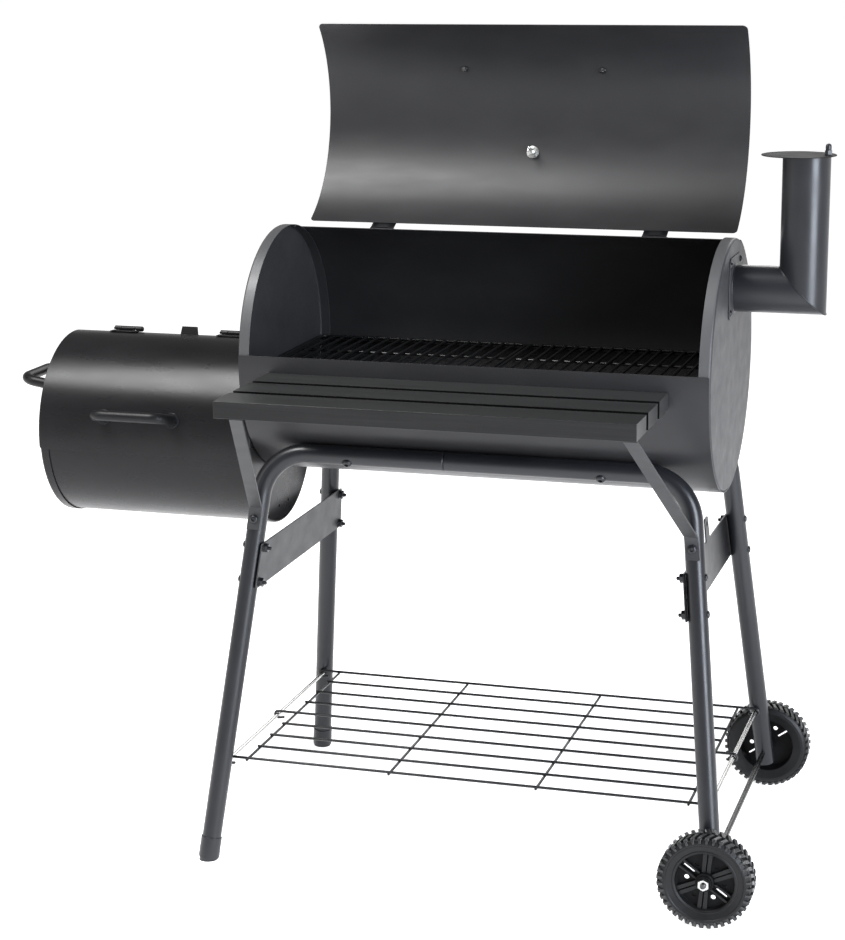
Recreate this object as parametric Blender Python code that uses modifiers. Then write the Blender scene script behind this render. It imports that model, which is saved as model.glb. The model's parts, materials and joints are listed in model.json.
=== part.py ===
"""Offset smoker: a barrel cooking chamber with a side firebox, a chimney, a slatted front shelf
and a tube stand on two wheels.

Units are metres and +Z is up. The front faces -Y and the firebox is at -X. Lengths are laid out
from the point of the floor under the middle of the barrel; the empty "smoker" then moves all of
it, so that the origin is under the middle of the whole object. Angles around a drum are measured
from its front (-Y), rising over its top.
"""
from math import cos, pi, radians, sin, tan

import bmesh
import bpy
from mathutils import Matrix, Vector

# ------------------------------------------------------------------ driving dimensions
NAME = "offset_smoker"
BARREL_CENTRE = Vector((0.13675, 0.0404, 0.0))  # the barrel's place in the object's frame

GAP = 0.0003            # left between touching pieces
SHEET = 0.0012          # rolled and pressed steel sheet
CAP_CORNER = 0.004      # rounding between an end cap's face and its flange

BARREL_Z = 0.724        # barrel axis above the floor
BARREL_R = 0.181        # outside of the shell
BARREL_HALF = 0.339     # half the length over the end caps
BARREL_FLANGE = 0.017   # depth of the caps' flanges
GRATE_THICK = 0.004
LEDGE_TOP = 0.7065      # the ledges that carry the grates
LEDGE_THICK = 0.0015
OPENING_FRONT = radians(4.6)
OPENING_REAR = radians(110.0)

LID_R = BARREL_R + SHEET + GAP
LID_FRONT = radians(4.9)
LID_REAR = radians(113.8)        # the shut lid laps over the shell's rear edge
LID_HALF = 0.325
LID_OPEN = radians(130.6)       # the lid stands open at rest
LID_AXIS_R = 0.1865             # hinge axis from the barrel's axis
LID_AXIS_ANGLE = radians(118.4)

FIREBOX_Z = 0.591
FIREBOX_R = 0.1383              # outside of the end caps
FIREBOX_ENDS = (-0.676, -BARREL_HALF - GAP)
FIREBOX_FLANGE = 0.014
FIREBOX_SHELL_R = 0.1365        # inside the caps' flanges
FIREBOX_LID_R = 0.1398
FIREBOX_LID_FRONT = radians(-7.0)
FIREBOX_LID_REAR = radians(95.0)
FIREBOX_AXIS_R = 0.1440
FIREBOX_AXIS_ANGLE = radians(98.6)

HANDLE_REACH = 0.045
HANDLE_R = 0.008
FIREBOX_HANDLE_X = -0.5165
FIREBOX_TAB_X = -0.4885
CHIMNEY_X = 0.435
CHIMNEY_Z = 0.834
CHIMNEY_TOP = 1.0205
CHIMNEY_R = 0.033
DAMPER_R = 0.0515
DAMPER_PIVOT = 0.029            # pivot from the stack's axis

SHELF_ENDS = (-0.2925, 0.2825)
SHELF_FRONT = -0.3945
SHELF_TOP = 0.7154
SLAT_DEPTH = 0.0622
SLAT_HEIGHT = 0.0235
SLAT_SPACE = 0.013
SUPPORT_X = 0.2695
SUPPORT_INSET = 0.024           # the supports bend this far behind the shelf's front edge

TUBE_R = 0.014
TUBE_WALL = 0.001
BAR_ANGLE = radians(48.0)       # where the bars touch the barrel, from straight below
CORNER_X = 0.309                # where the bar's and the leg's centre lines meet
FOOT_X = 0.3733
FOOT_Y = 0.2566
FRAME_BEND = 0.07
FRAME_SEAM_X = -0.041
RACK_Z = 0.145
PLATE_Z = 0.432

WHEEL_R = 0.066
WHEEL_INNER = 0.2632
AXLE_R = 0.004

# ------------------------------------------------------------------ worked out from them
LID_AXIS = Vector((0, -LID_AXIS_R * cos(LID_AXIS_ANGLE), BARREL_Z + LID_AXIS_R * sin(LID_AXIS_ANGLE)))
FIREBOX_AXIS = Vector((0, -FIREBOX_AXIS_R * cos(FIREBOX_AXIS_ANGLE),
                       FIREBOX_Z + FIREBOX_AXIS_R * sin(FIREBOX_AXIS_ANGLE)))
FIREBOX_MIDDLE = sum(FIREBOX_ENDS) / 2
BAR_REACH = BARREL_R + TUBE_R + GAP
BAR_Y = BAR_REACH * sin(BAR_ANGLE)
BAR_Z = BARREL_Z - BAR_REACH * cos(BAR_ANGLE)
AXLE_X = CORNER_X + (FOOT_X - CORNER_X) * (1 - WHEEL_R / BAR_Z)
DAMPER_AXIS = Vector((CHIMNEY_X + DAMPER_PIVOT, 0, CHIMNEY_TOP))
VENT_AXIS = Vector((FIREBOX_ENDS[0], 0, FIREBOX_Z - 0.035))

# ------------------------------------------------------------------ scene and materials
for old in list(bpy.data.objects):
    bpy.data.objects.remove(old, do_unlink=True)

PARTS = bpy.data.collections.new(NAME)
CUTTERS = bpy.data.collections.new("cutters")
for collection in (PARTS, CUTTERS):
    bpy.context.scene.collection.children.link(collection)


def make_material(name, colour, roughness, metallic):
    material = bpy.data.materials.new(name)
    material.use_nodes = True
    shader = material.node_tree.nodes["Principled BSDF"]
    shader.inputs["Base Color"].default_value = (*colour, 1)
    shader.inputs["Roughness"].default_value = roughness
    shader.inputs["Metallic"].default_value = metallic
    return material


MATERIALS = {
    "black_sheet": make_material("black_sheet", (0.030, 0.030, 0.033), 0.48, 0.3),
    "black_tube": make_material("black_tube", (0.024, 0.025, 0.031), 0.34, 0.3),
    "grate_wire": make_material("grate_wire", (0.012, 0.012, 0.013), 0.42, 0.2),
    "black_board": make_material("black_board", (0.040, 0.041, 0.044), 0.52, 0.0),
    "black_plastic": make_material("black_plastic", (0.012, 0.012, 0.013), 0.55, 0.0),
    "zinc": make_material("zinc", (0.62, 0.62, 0.60), 0.35, 0.9),
    "dial_steel": make_material("dial_steel", (0.70, 0.70, 0.69), 0.25, 0.9),
}


def make_empty(name, location, parent=None):
    empty = bpy.data.objects.new(name, None)
    empty.empty_display_size = 0.03
    empty.location = location
    empty.parent = parent
    PARTS.objects.link(empty)
    return empty


smoker = make_empty("smoker", BARREL_CENTRE)
stand = make_empty("stand_pivot", (0, 0, 0), smoker)
barrel_lid_pivot = make_empty("barrel_lid_pivot", LID_AXIS, smoker)
barrel_lid_pivot.rotation_euler.x = -LID_OPEN
firebox_lid_pivot = make_empty("firebox_lid_pivot", FIREBOX_AXIS, smoker)
damper_pivot_axis = make_empty("damper_pivot_axis", DAMPER_AXIS, smoker)
air_vent_axis = make_empty("air_vent_axis", VENT_AXIS, smoker)


# ------------------------------------------------------------------ helpers
def around(angle, radius, centre_z, x=0.0):
    """A point at an angle around a drum."""
    return Vector((x, -radius * cos(angle), centre_z + radius * sin(angle)))


def tangent_frame(angle, radius, centre_z, x=0.0, towards_rear=True):
    """X along the drum, Y along its surface and Z straight out of it."""
    out = Vector((0, -cos(angle), sin(angle)))
    along = Vector((0, sin(angle), cos(angle)))
    width = Vector((1, 0, 0))
    if not towards_rear:
        along.negate()
        width.negate()
    matrix = Matrix((width, along, out)).transposed().to_4x4()
    matrix.translation = around(angle, radius, centre_z, x)
    return matrix


def place(obj, pivot, matrix=None):
    """Put an object where the matrix says with both lids shut, and hang it on its pivot."""
    obj.parent = pivot
    obj.matrix_basis = Matrix.Translation(-Vector(pivot.location)) @ (matrix or Matrix())
    return obj


def add_object(name, data, slot):
    obj = bpy.data.objects.new(name, data)
    data.materials.append(MATERIALS[slot])
    PARTS.objects.link(obj)
    return obj


def add_mesh(name, bm, slot, crease=35):
    mesh = bpy.data.meshes.new(name)
    bm.to_mesh(mesh)
    bm.free()
    mesh.shade_smooth()
    mesh.set_sharp_from_angle(angle=radians(crease))
    return add_object(name, mesh, slot)


def as_cutter(obj):
    """A tool for a Boolean: out of the model, in the cutters' collection."""
    PARTS.objects.unlink(obj)
    CUTTERS.objects.link(obj)
    obj.hide_render = True
    obj.display_type = "WIRE"
    return obj


def boolean(obj, other, operation="DIFFERENCE"):
    modifier = obj.modifiers.new(operation.title(), "BOOLEAN")
    modifier.operation = operation
    modifier.solver = "EXACT"
    modifier.object = other


def box_mesh(bm, size, centre):
    made = bmesh.ops.create_cube(bm, size=1.0)
    bmesh.ops.scale(bm, vec=size, verts=made["verts"])
    bmesh.ops.translate(bm, vec=centre, verts=made["verts"])


def add_box(name, size, centre, slot="black_sheet", bevel=0.0):
    bm = bmesh.new()
    box_mesh(bm, size, centre)
    obj = add_mesh(name, bm, slot)
    if bevel:
        modifier = obj.modifiers.new("Bevel", "BEVEL")
        modifier.width = bevel
        modifier.segments = 2
    return obj


def add_cylinder(name, radius, depth, matrix, segments=24, slot="black_sheet"):
    bm = bmesh.new()
    bmesh.ops.create_cone(bm, cap_ends=True, segments=segments, radius1=radius, radius2=radius,
                          depth=depth, matrix=matrix)
    return add_mesh(name, bm, slot)


def add_pipe(name, outer, inner, length, segments, slot, mitre=0.0):
    """An open pipe along its Z; mitre slopes its lower end."""
    bm = bmesh.new()
    for radius in (inner, outer):
        bmesh.ops.reverse_faces(bm, faces=bm.faces)
        bmesh.ops.create_cone(bm, cap_ends=False, segments=segments, radius1=radius, radius2=radius,
                              depth=length, matrix=Matrix.Translation((0, 0, length / 2)))
    lower = [edge for edge in bm.edges if all(v.co.z < length / 4 for v in edge.verts)]
    upper = [edge for edge in bm.edges if all(v.co.z > length / 4 * 3 for v in edge.verts)]
    for vert in {v for edge in lower for v in edge.verts}:
        vert.co.z += mitre * vert.co.x
    bmesh.ops.bridge_loops(bm, edges=lower)
    bmesh.ops.bridge_loops(bm, edges=upper)
    bmesh.ops.recalc_face_normals(bm, faces=bm.faces)
    return add_mesh(name, bm, slot)


def add_turned(name, profile, steps, slot, closed=False):
    """A profile of (radius, height) turned about Z, listed down its outer side."""
    bm = bmesh.new()
    verts = [bm.verts.new((radius, 0, height)) for radius, height in profile]
    for first, second in zip(verts, verts[1:]):
        bm.edges.new((first, second))
    if closed:
        bm.edges.new((verts[-1], verts[0]))
    obj = add_mesh(name, bm, slot)
    screw = obj.modifiers.new("Turn", "SCREW")
    screw.axis = "Z"
    screw.steps = steps
    screw.render_steps = steps
    screw.use_merge_vertices = True
    screw.merge_threshold = 0.00001
    screw.use_smooth_shade = True
    return obj


def add_rolled_sheet(name, ends, radius, start, stop, steps, slot="black_sheet"):
    """Sheet rolled about X, its outside at the radius, from one angle to another."""
    bm = bmesh.new()
    verts = [bm.verts.new(around(start, radius, 0.0, x)) for x in ends]
    edge = bm.edges.new(verts)
    bmesh.ops.spin(bm, geom=[edge, *verts], cent=(0, 0, 0), axis=(-1, 0, 0), angle=stop - start, steps=steps)
    bm.normal_update()
    bm.faces.ensure_lookup_table()
    centre = bm.faces[0].calc_center_median()
    if bm.faces[0].normal.dot(Vector((0, centre.y, centre.z))) < 0:
        bmesh.ops.reverse_faces(bm, faces=bm.faces)
    obj = add_mesh(name, bm, slot)
    solid = obj.modifiers.new("Sheet", "SOLIDIFY")
    solid.thickness = SHEET
    solid.offset = -1
    return obj


def arc_points(centre, radius, start, stop, count):
    """Points of an arc in a plane, from one angle to another."""
    turns = [start + (stop - start) * step / count for step in range(count + 1)]
    return [(centre[0] + radius * cos(turn), centre[1] + radius * sin(turn)) for turn in turns]


def rectangle(x_ends, y_ends):
    return [(x_ends[0], y_ends[0]), (x_ends[1], y_ends[0]), (x_ends[1], y_ends[1]), (x_ends[0], y_ends[1])]


def rounded_rectangle(half_x, half_y, corner, count=3):
    points = []
    for quarter, (sign_x, sign_y) in enumerate(((1, 1), (-1, 1), (-1, -1), (1, -1))):
        centre = (sign_x * (half_x - corner), sign_y * (half_y - corner))
        points += arc_points(centre, corner, quarter * pi / 2, (quarter + 1) * pi / 2, count)
    return points


def add_plate(name, outlines, thickness, slot="black_sheet"):
    """A flat piece in its own XY plane; the first outline is its edge and the others are holes."""
    curve = bpy.data.curves.new(name, "CURVE")
    curve.dimensions = "2D"
    curve.fill_mode = "BOTH"
    curve.extrude = thickness / 2
    for outline in outlines:
        spline = curve.splines.new("POLY")
        spline.points.add(len(outline) - 1)
        for point, (x, y) in zip(spline.points, outline):
            point.co = (x, y, 0, 1)
        spline.use_cyclic_u = True
    return add_object(name, curve, slot)


def bend_path(points, radius, count=6):
    """A path with its inner corners rounded to arcs."""
    points = [Vector(point) for point in points]
    path = [points[0]]
    for before, corner, after in zip(points, points[1:], points[2:]):
        come = (before - corner).normalized()
        leave = (after - corner).normalized()
        half = come.angle(leave) / 2
        middle = corner + (come + leave).normalized() * radius / sin(half)
        first = corner + come * radius / tan(half) - middle
        last = corner + leave * radius / tan(half) - middle
        path += [middle + first.slerp(last, step / count) * radius for step in range(count + 1)]
    return path + [points[-1]]


def add_rod(name, paths, radius, slot, sides=8, caps=True):
    """Round bars along paths; a path's points may carry their own share of the radius."""
    curve = bpy.data.curves.new(name, "CURVE")
    curve.dimensions = "3D"
    curve.bevel_depth = radius
    curve.bevel_resolution = (sides - 4) // 2
    curve.use_fill_caps = caps
    for path in paths:
        spline = curve.splines.new("POLY")
        spline.points.add(len(path) - 1)
        for point, place_on_path in zip(spline.points, path):
            point.co = (*place_on_path[:3], 1)
            point.radius = place_on_path[3] if len(place_on_path) > 3 else 1.0
    return add_object(name, curve, slot)


def curve_to_mesh(curve_object):
    """The same piece as a welded mesh, ready for a Boolean or a Solidify."""
    graph = bpy.context.evaluated_depsgraph_get()
    mesh = bpy.data.meshes.new_from_object(curve_object.evaluated_get(graph))
    bm = bmesh.new()
    bm.from_mesh(mesh)
    bmesh.ops.remove_doubles(bm, verts=bm.verts, dist=0.00001)
    bm.to_mesh(mesh)
    bm.free()
    name = curve_object.name
    matrix = curve_object.matrix_world.copy()
    curve_object.name = name + "_curve"
    obj = bpy.data.objects.new(name, mesh)
    obj.matrix_world = matrix
    PARTS.objects.link(obj)
    bpy.data.objects.remove(curve_object, do_unlink=True)
    return obj


# ------------------------------------------------------------------ drums, caps and lids
def add_cap(name, radius, depth, x, side, centre_z):
    """A pressed pan whose flat face looks to the side given, with a flange all round."""
    outer = [(0, 0), (radius - CAP_CORNER, 0), (radius, -CAP_CORNER), (radius, -depth)]
    inner_r = radius - SHEET
    inner = [(inner_r, -depth), (inner_r, -CAP_CORNER), (inner_r - CAP_CORNER + SHEET, -SHEET), (0, -SHEET)]
    cap = add_turned(name, outer + inner, 40, "black_sheet")
    turn = Matrix.Rotation(side * pi / 2, 4, "Y")
    return place(cap, stand, Matrix.Translation((x, 0, centre_z)) @ turn)


def make_barrel():
    """The cooking chamber: shell, end caps, grate ledges and the two grates."""
    ends = (-BARREL_HALF + 0.0015, BARREL_HALF - 0.0015)
    shell = add_rolled_sheet("barrel_shell", ends, BARREL_R, OPENING_REAR, OPENING_FRONT + 2 * pi, 44)
    place(shell, stand, Matrix.Translation((0, 0, BARREL_Z)))
    cap_radius = BARREL_R - SHEET - 2 * GAP
    left = add_cap("barrel_cap_left", cap_radius, BARREL_FLANGE, -BARREL_HALF, -1, BARREL_Z)
    right = add_cap("barrel_cap_right", cap_radius, BARREL_FLANGE, BARREL_HALF, 1, BARREL_Z)
    port = as_cutter(add_box("smoke_port", (0.02, 0.15, 0.085), (0, 0, 0)))
    place(port, stand, Matrix.Translation((-BARREL_HALF, 0, 0.6325)))
    boolean(left, port)
    hole = as_cutter(add_cylinder("chimney_hole", CHIMNEY_R - 0.002, 0.02, Matrix.Rotation(pi / 2, 4, "Y"), 32))
    place(hole, stand, Matrix.Translation((BARREL_HALF, 0, CHIMNEY_Z)))
    boolean(right, hole)
    for side, name in ((-1, "front"), (1, "rear")):
        centre = (0, side * 0.1703, LEDGE_TOP - LEDGE_THICK / 2)
        place(add_box("grate_ledge_" + name, (0.636, 0.015, LEDGE_THICK), centre), stand)
    for side, name in ((-1, "left"), (1, "right")):
        grate = add_grate("cooking_grate_" + name, 0.333, 0.350, 18, 2, GRATE_THICK)
        place(grate, stand, Matrix.Translation((side * 0.168, 0, LEDGE_TOP + GAP + GRATE_THICK / 2)))
    return port


def add_grate(name, width, depth, gaps, rows, thickness):
    """A flat grate in XY: bars run along Y, a few cross bars run along X."""
    bar = 0.005
    pitch_x = (width - bar) / gaps
    pitch_y = (depth - bar) / rows
    outlines = [rectangle((-width / 2, width / 2), (-depth / 2, depth / 2))]
    for column in range(gaps):
        low_x = -width / 2 + bar + column * pitch_x
        for row in range(rows):
            low_y = -depth / 2 + bar + row * pitch_y
            outlines.append(rectangle((low_x, low_x + pitch_x - bar), (low_y, low_y + pitch_y - bar)))
    return add_plate(name, outlines, thickness, "grate_wire")


def make_barrel_lid():
    """The lid as it lies shut; its pivot holds it open."""
    lid = add_rolled_sheet("barrel_lid", (-LID_HALF, LID_HALF), LID_R, LID_FRONT, LID_REAR, 26)
    place(lid, barrel_lid_pivot, Matrix.Translation((0, 0, BARREL_Z)))
    dial_frame = tangent_frame(radians(69.7), LID_R, BARREL_Z)
    hole = as_cutter(add_cylinder("thermometer_hole", 0.0045, 0.02, Matrix(), 16))
    place(hole, barrel_lid_pivot, dial_frame)
    boolean(lid, hole)
    dial = [(0, 0.0135), (0.022, 0.0135), (0.0245, 0.012), (0.0245, 0.0008), (0.004, 0.0008),
            (0.004, -0.011), (0.0022, -0.011), (0.0022, -0.030), (0, -0.030)]
    place(add_turned("thermometer", dial, 20, "dial_steel"), barrel_lid_pivot, dial_frame)
    nut = add_pipe("thermometer_nut", 0.0085, 0.0050, 0.005, 6, "zinc")
    place(nut, barrel_lid_pivot, dial_frame @ Matrix.Translation((0, 0, -SHEET - 0.0006 - 0.005)))
    handle_frame = tangent_frame(radians(30.1), LID_R + 0.0006, BARREL_Z)
    place(add_bow("lid_handle", 0.106, HANDLE_REACH, HANDLE_R, 0.018), barrel_lid_pivot, handle_frame)


def add_bow(name, half_span, reach, radius, bend):
    """A bow handle in its own XZ plane, its two feet at Z = 0."""
    feet = [(-half_span, 0, 0), (-half_span, 0, reach), (half_span, 0, reach), (half_span, 0, 0)]
    return add_rod(name, [bend_path(feet, bend, 4)], radius, "black_tube")


def make_firebox(port):
    """The firebox with its caps, grate, side handle and rotary air vent."""
    inner_ends = (FIREBOX_ENDS[0] + CAP_CORNER + GAP, FIREBOX_ENDS[1] - CAP_CORNER - GAP)
    shell = add_rolled_sheet("firebox_shell", inner_ends, FIREBOX_SHELL_R, radians(92), radians(356.5), 40)
    place(shell, stand, Matrix.Translation((0, 0, FIREBOX_Z)))
    left = add_cap("firebox_cap_left", FIREBOX_R, FIREBOX_FLANGE, FIREBOX_ENDS[0], -1, FIREBOX_Z)
    right = add_cap("firebox_cap_right", FIREBOX_R, FIREBOX_FLANGE, FIREBOX_ENDS[1], 1, FIREBOX_Z)
    boolean(right, port)
    for side in (-1, 1):
        drill = add_cylinder(f"drain_hole_{side}", 0.0025, 0.02, Matrix.Rotation(pi / 2, 4, "Y"), 16)
        place(as_cutter(drill), stand, Matrix.Translation((FIREBOX_ENDS[1], side * 0.020, 0.480)))
        boolean(right, drill)
    grate = add_grate("firebox_grate", 0.240, 0.230, 10, 1, GRATE_THICK)
    place(grate, stand, Matrix.Translation((FIREBOX_MIDDLE, 0, 0.5222)))
    handle = add_rod("firebox_side_handle", [side_handle_path()], HANDLE_R, "black_tube")
    place(handle, stand, Matrix.Translation((FIREBOX_ENDS[0], 0, 0.652)))
    make_air_vent(left)


def side_handle_path():
    """A carrying bow that stands out of the firebox's end and rises a little."""
    half_span, foot, reach, rise = 0.053, 0.0015, 0.065, 0.010
    feet = [(-foot, -half_span, 0), (-reach, -half_span, rise), (-reach, half_span, rise), (-foot, half_span, 0)]
    return bend_path(feet, 0.022, 4)


def make_air_vent(cap):
    """Three holes in the firebox's outer cap and a disc with the same holes that turns over them."""
    hole_places = [(0.026 * cos(turn), 0.026 * sin(turn)) for turn in (pi / 2, pi * 7 / 6, pi * 11 / 6)]
    for number, (up, across) in enumerate(hole_places):
        drill = add_cylinder(f"vent_hole_{number}", 0.0105, 0.02, Matrix.Rotation(pi / 2, 4, "Y"), 16)
        place(as_cutter(drill), stand, Matrix.Translation(VENT_AXIS + Vector((0, across, up))))
        boolean(cap, drill)
    bolt_hole = add_cylinder("vent_bolt_hole", 0.0031, 0.02, Matrix.Rotation(pi / 2, 4, "Y"), 16)
    place(as_cutter(bolt_hole), stand, Matrix.Translation(VENT_AXIS))
    boolean(cap, bolt_hole)
    outward = Matrix.Rotation(-pi / 2, 4, "Y")
    rim = arc_points((0, 0), 0.042, 0, 2 * pi, 40)[:-1]
    tab = [(-0.045, -0.008), (-0.054, -0.006), (-0.054, 0.006), (-0.045, 0.008)]
    rim = [p for p in rim if p[0] > -0.0405] + tab
    rim.sort(key=lambda p: Vector(p).angle_signed(Vector((1, 0))))
    holes = [arc_points(centre, 0.0105, 0, 2 * pi, 16)[:-1] for centre in hole_places]
    bolt = arc_points((0, 0), 0.0026, 0, 2 * pi, 12)[:-1]
    disc = add_plate("air_vent_disc", [rim, *holes, bolt], SHEET)
    lift = GAP + SHEET / 2
    place(disc, air_vent_axis, Matrix.Translation(VENT_AXIS) @ outward @ Matrix.Translation((0, 0, lift)))
    head = lift + SHEET / 2 + GAP
    profile = [(0, head + 0.004), (0.0045, head + 0.003), (0.0055, head), (0.0025, head), (0.0025, -0.008), (0, -0.008)]
    pivot = add_turned("air_vent_pivot", profile, 16, "zinc")
    place(pivot, stand, Matrix.Translation(VENT_AXIS) @ outward)


def make_firebox_lid():
    """The firebox lid, which laps over both caps' flanges, with its handle and tab."""
    ends = (FIREBOX_ENDS[0] + 0.0005, FIREBOX_ENDS[1] - 0.0012)
    lid = add_rolled_sheet("firebox_lid", ends, FIREBOX_LID_R, FIREBOX_LID_FRONT, FIREBOX_LID_REAR, 20)
    place(lid, firebox_lid_pivot, Matrix.Translation((0, 0, FIREBOX_Z)))
    frame = tangent_frame(radians(15), FIREBOX_LID_R + 0.0006, FIREBOX_Z, FIREBOX_HANDLE_X)
    place(add_bow("firebox_lid_handle", 0.0545, HANDLE_REACH, HANDLE_R, 0.018), firebox_lid_pivot, frame)
    outline = [(-0.0145, 0), (0.0145, 0), (0.0125, 0.0125), (-0.0125, 0.0125)]
    tab = add_plate("firebox_lid_tab", [outline], 0.0015)
    stand_up = Matrix.Rotation(radians(78), 4, "X")
    frame = tangent_frame(radians(92.5), FIREBOX_LID_R + 0.0006, FIREBOX_Z, FIREBOX_TAB_X)
    place(tab, firebox_lid_pivot, frame @ stand_up)


# ------------------------------------------------------------------ hinges
def make_hinge(prefix, suffix, x, width, centre_z, axis_r, axis_angle, base_r, leaf_r, pivot):
    """A butt hinge on a drum: a base leaf, a moving leaf and the pin through their knuckles."""
    knuckle_r, pin_r = 0.0042, 0.0020
    axis = around(axis_angle, axis_r, centre_z, x)
    middle = width / 4
    spans = {"base": [(-middle + GAP, middle - GAP)], "leaf": [(-width / 2, -middle), (middle, width / 2)]}
    leaf_depth, spread = 0.022, radians(6.4) * BARREL_R
    for kind, drum_r, owner, sign in (("base", base_r, stand, 1), ("leaf", leaf_r, pivot, -1)):
        angle = axis_angle + sign * spread / drum_r
        outline = leaf_outline(width, leaf_depth, spans[kind], sin(spread / drum_r) * axis_r)
        leaf = add_plate(f"{prefix}_hinge_{kind}_{suffix}", [outline], 0.0015, "black_tube")
        frame = tangent_frame(angle, drum_r + 0.0006 + 0.00075, centre_z, x, towards_rear=sign < 0)
        leaf.matrix_world = frame
        bpy.context.view_layer.update()
        leaf = curve_to_mesh(leaf)
        for number, (low, high) in enumerate(spans[kind]):
            across = Matrix.Translation(axis + Vector(((low + high) / 2, 0, 0))) @ Matrix.Rotation(pi / 2, 4, "Y")
            knuckle = add_cylinder(f"{leaf.name}_knuckle_{number}", knuckle_r, high - low, across, 12)
            place(as_cutter(knuckle), owner)
            boolean(leaf, knuckle, "UNION")
        across = Matrix.Translation(axis) @ Matrix.Rotation(pi / 2, 4, "Y")
        bore = add_cylinder(f"{leaf.name}_bore", pin_r + 0.0001, width + 0.01, across, 12)
        place(as_cutter(bore), owner)
        boolean(leaf, bore)
        place(leaf, owner, frame)
    head = width / 2 + GAP
    profile = [(0, head + 0.0015), (0.0032, head + 0.0012), (0.0032, head), (pin_r, head),
               (pin_r, -width / 2 - 0.002), (0, -width / 2 - 0.002)]
    pin = add_turned(f"{prefix}_hinge_pin_{suffix}", profile, 12, "zinc")
    place(pin, stand, Matrix.Translation(axis) @ Matrix.Rotation(pi / 2, 4, "Y"))


def leaf_outline(width, depth, spans, to_axis):
    """A leaf seen from outside: a plate with tongues that reach the knuckles at +Y."""
    half = width / 2
    shoulder = to_axis - 0.0047
    points = [(half, shoulder - depth), (half, shoulder)]
    for low, high in reversed(spans):
        tongue_x = (min(high, half - 0.0004), max(low, -half + 0.0004))
        points += [(tongue_x[0], shoulder), (tongue_x[0], to_axis - 0.0012)]
        points += [(tongue_x[1], to_axis - 0.0012), (tongue_x[1], shoulder)]
    points += [(-half, shoulder), (-half, shoulder - depth)]
    return points


# ------------------------------------------------------------------ chimney
def make_chimney():
    """A horizontal pipe through a flange, mitred to an upright stack, and the damper on it."""
    elbow = Vector((CHIMNEY_X, 0, CHIMNEY_Z))
    inner = CHIMNEY_R - SHEET
    run = CHIMNEY_X - BARREL_HALF - GAP
    pipe = add_pipe("chimney_elbow_pipe", CHIMNEY_R, inner, run, 28, "black_tube", mitre=1.0)
    place(pipe, stand, Matrix.Translation(elbow) @ Matrix.Rotation(-pi / 2, 4, "Y"))
    lift = 0.0005
    stack = add_pipe("chimney_stack", CHIMNEY_R, inner, CHIMNEY_TOP - CHIMNEY_Z - lift, 28, "black_tube", mitre=-1.0)
    place(stack, stand, Matrix.Translation(elbow + Vector((0, 0, lift))))
    hole = arc_points((0, 0), CHIMNEY_R + 0.0006, 0, 2 * pi, 28)[:-1]
    flange = add_plate("chimney_flange", [rounded_rectangle(0.043, 0.048, 0.012), hole], 0.0015)
    out = Matrix.Translation((BARREL_HALF + GAP + 0.00075, 0, CHIMNEY_Z + 0.003)) @ Matrix.Rotation(pi / 2, 4, "Y")
    hole_shift = 0.003
    for point in flange.data.splines[1].points:
        point.co.x += hole_shift
    place(flange, stand, out)
    rim = arc_points((-0.040, 0), DAMPER_R, 0, 2 * pi, 36)[:-1]
    pivot_hole = arc_points((0, 0), 0.0024, 0, 2 * pi, 12)[:-1]
    damper = add_plate("damper_disc", [rim, pivot_hole], SHEET)
    place(damper, damper_pivot_axis, Matrix.Translation(DAMPER_AXIS + Vector((0, 0, GAP + SHEET / 2))))
    above = 2 * GAP + SHEET
    profile = [(0, above + 0.0155), (0.0024, above + 0.0148), (0.0040, above + 0.0125), (0.0044, above + 0.0085),
               (0.0055, above + 0.0065), (0.0055, above), (0.0023, above), (0.0023, -0.022), (0, -0.022)]
    pivot = add_turned("damper_pivot", profile, 16, "black_tube")
    place(pivot, stand, Matrix.Translation(DAMPER_AXIS))
    foot = as_cutter(add_box("damper_foot", (0.0042, 0.006, 0.018), (0, 0, 0)))
    place(foot, stand, Matrix.Translation(DAMPER_AXIS + Vector((0.00005, 0, -0.0135))))
    boolean(pivot, foot, "UNION")


# ------------------------------------------------------------------ shelf
def make_shelf():
    """Three slats on two bent flat bars that are bolted to the front legs."""
    length = SHELF_ENDS[1] - SHELF_ENDS[0]
    for number, name in enumerate(("front", "middle", "rear")):
        middle_y = SHELF_FRONT + SLAT_DEPTH / 2 + number * (SLAT_DEPTH + SLAT_SPACE)
        centre = (sum(SHELF_ENDS) / 2, middle_y, SHELF_TOP - SLAT_HEIGHT / 2)
        slat = add_box("shelf_slat_" + name, (length, SLAT_DEPTH, SLAT_HEIGHT), centre, "black_board", 0.0018)
        place(slat, stand)
    for side, name in ((-1, "left"), (1, "right")):
        place(add_flat_bar("shelf_support_" + name, support_path(side), 0.019, 0.003), stand)


def support_path(side):
    """Along the front leg, slanting forward to the front slat, then back under all three."""
    under = SHELF_TOP - SLAT_HEIGHT - GAP - 0.0015
    low, high = (leg_point(side, -1, z) + Vector((0, -TUBE_R - 0.0022, 0)) for z in (0.484, 0.514))
    bend = 0.003
    front = Vector((side * SUPPORT_X, SHELF_FRONT + SUPPORT_INSET, under - bend))
    return [low, high, front, front + Vector((0, bend, bend)), Vector((side * SUPPORT_X, -0.188, under))]


def add_flat_bar(name, path, width, thickness):
    """A strip along a path, as wide as given along X."""
    bm = bmesh.new()
    verts = [bm.verts.new(point - Vector((width / 2, 0, 0))) for point in path]
    edges = [bm.edges.new(pair) for pair in zip(verts, verts[1:])]
    made = bmesh.ops.extrude_edge_only(bm, edges=edges)
    moved = [item for item in made["geom"] if isinstance(item, bmesh.types.BMVert)]
    bmesh.ops.translate(bm, vec=(width, 0, 0), verts=moved)
    obj = add_mesh(name, bm, "black_sheet")
    solid = obj.modifiers.new("Bar", "SOLIDIFY")
    solid.thickness = thickness
    solid.offset = 0
    solid.use_even_offset = True
    return obj


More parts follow.
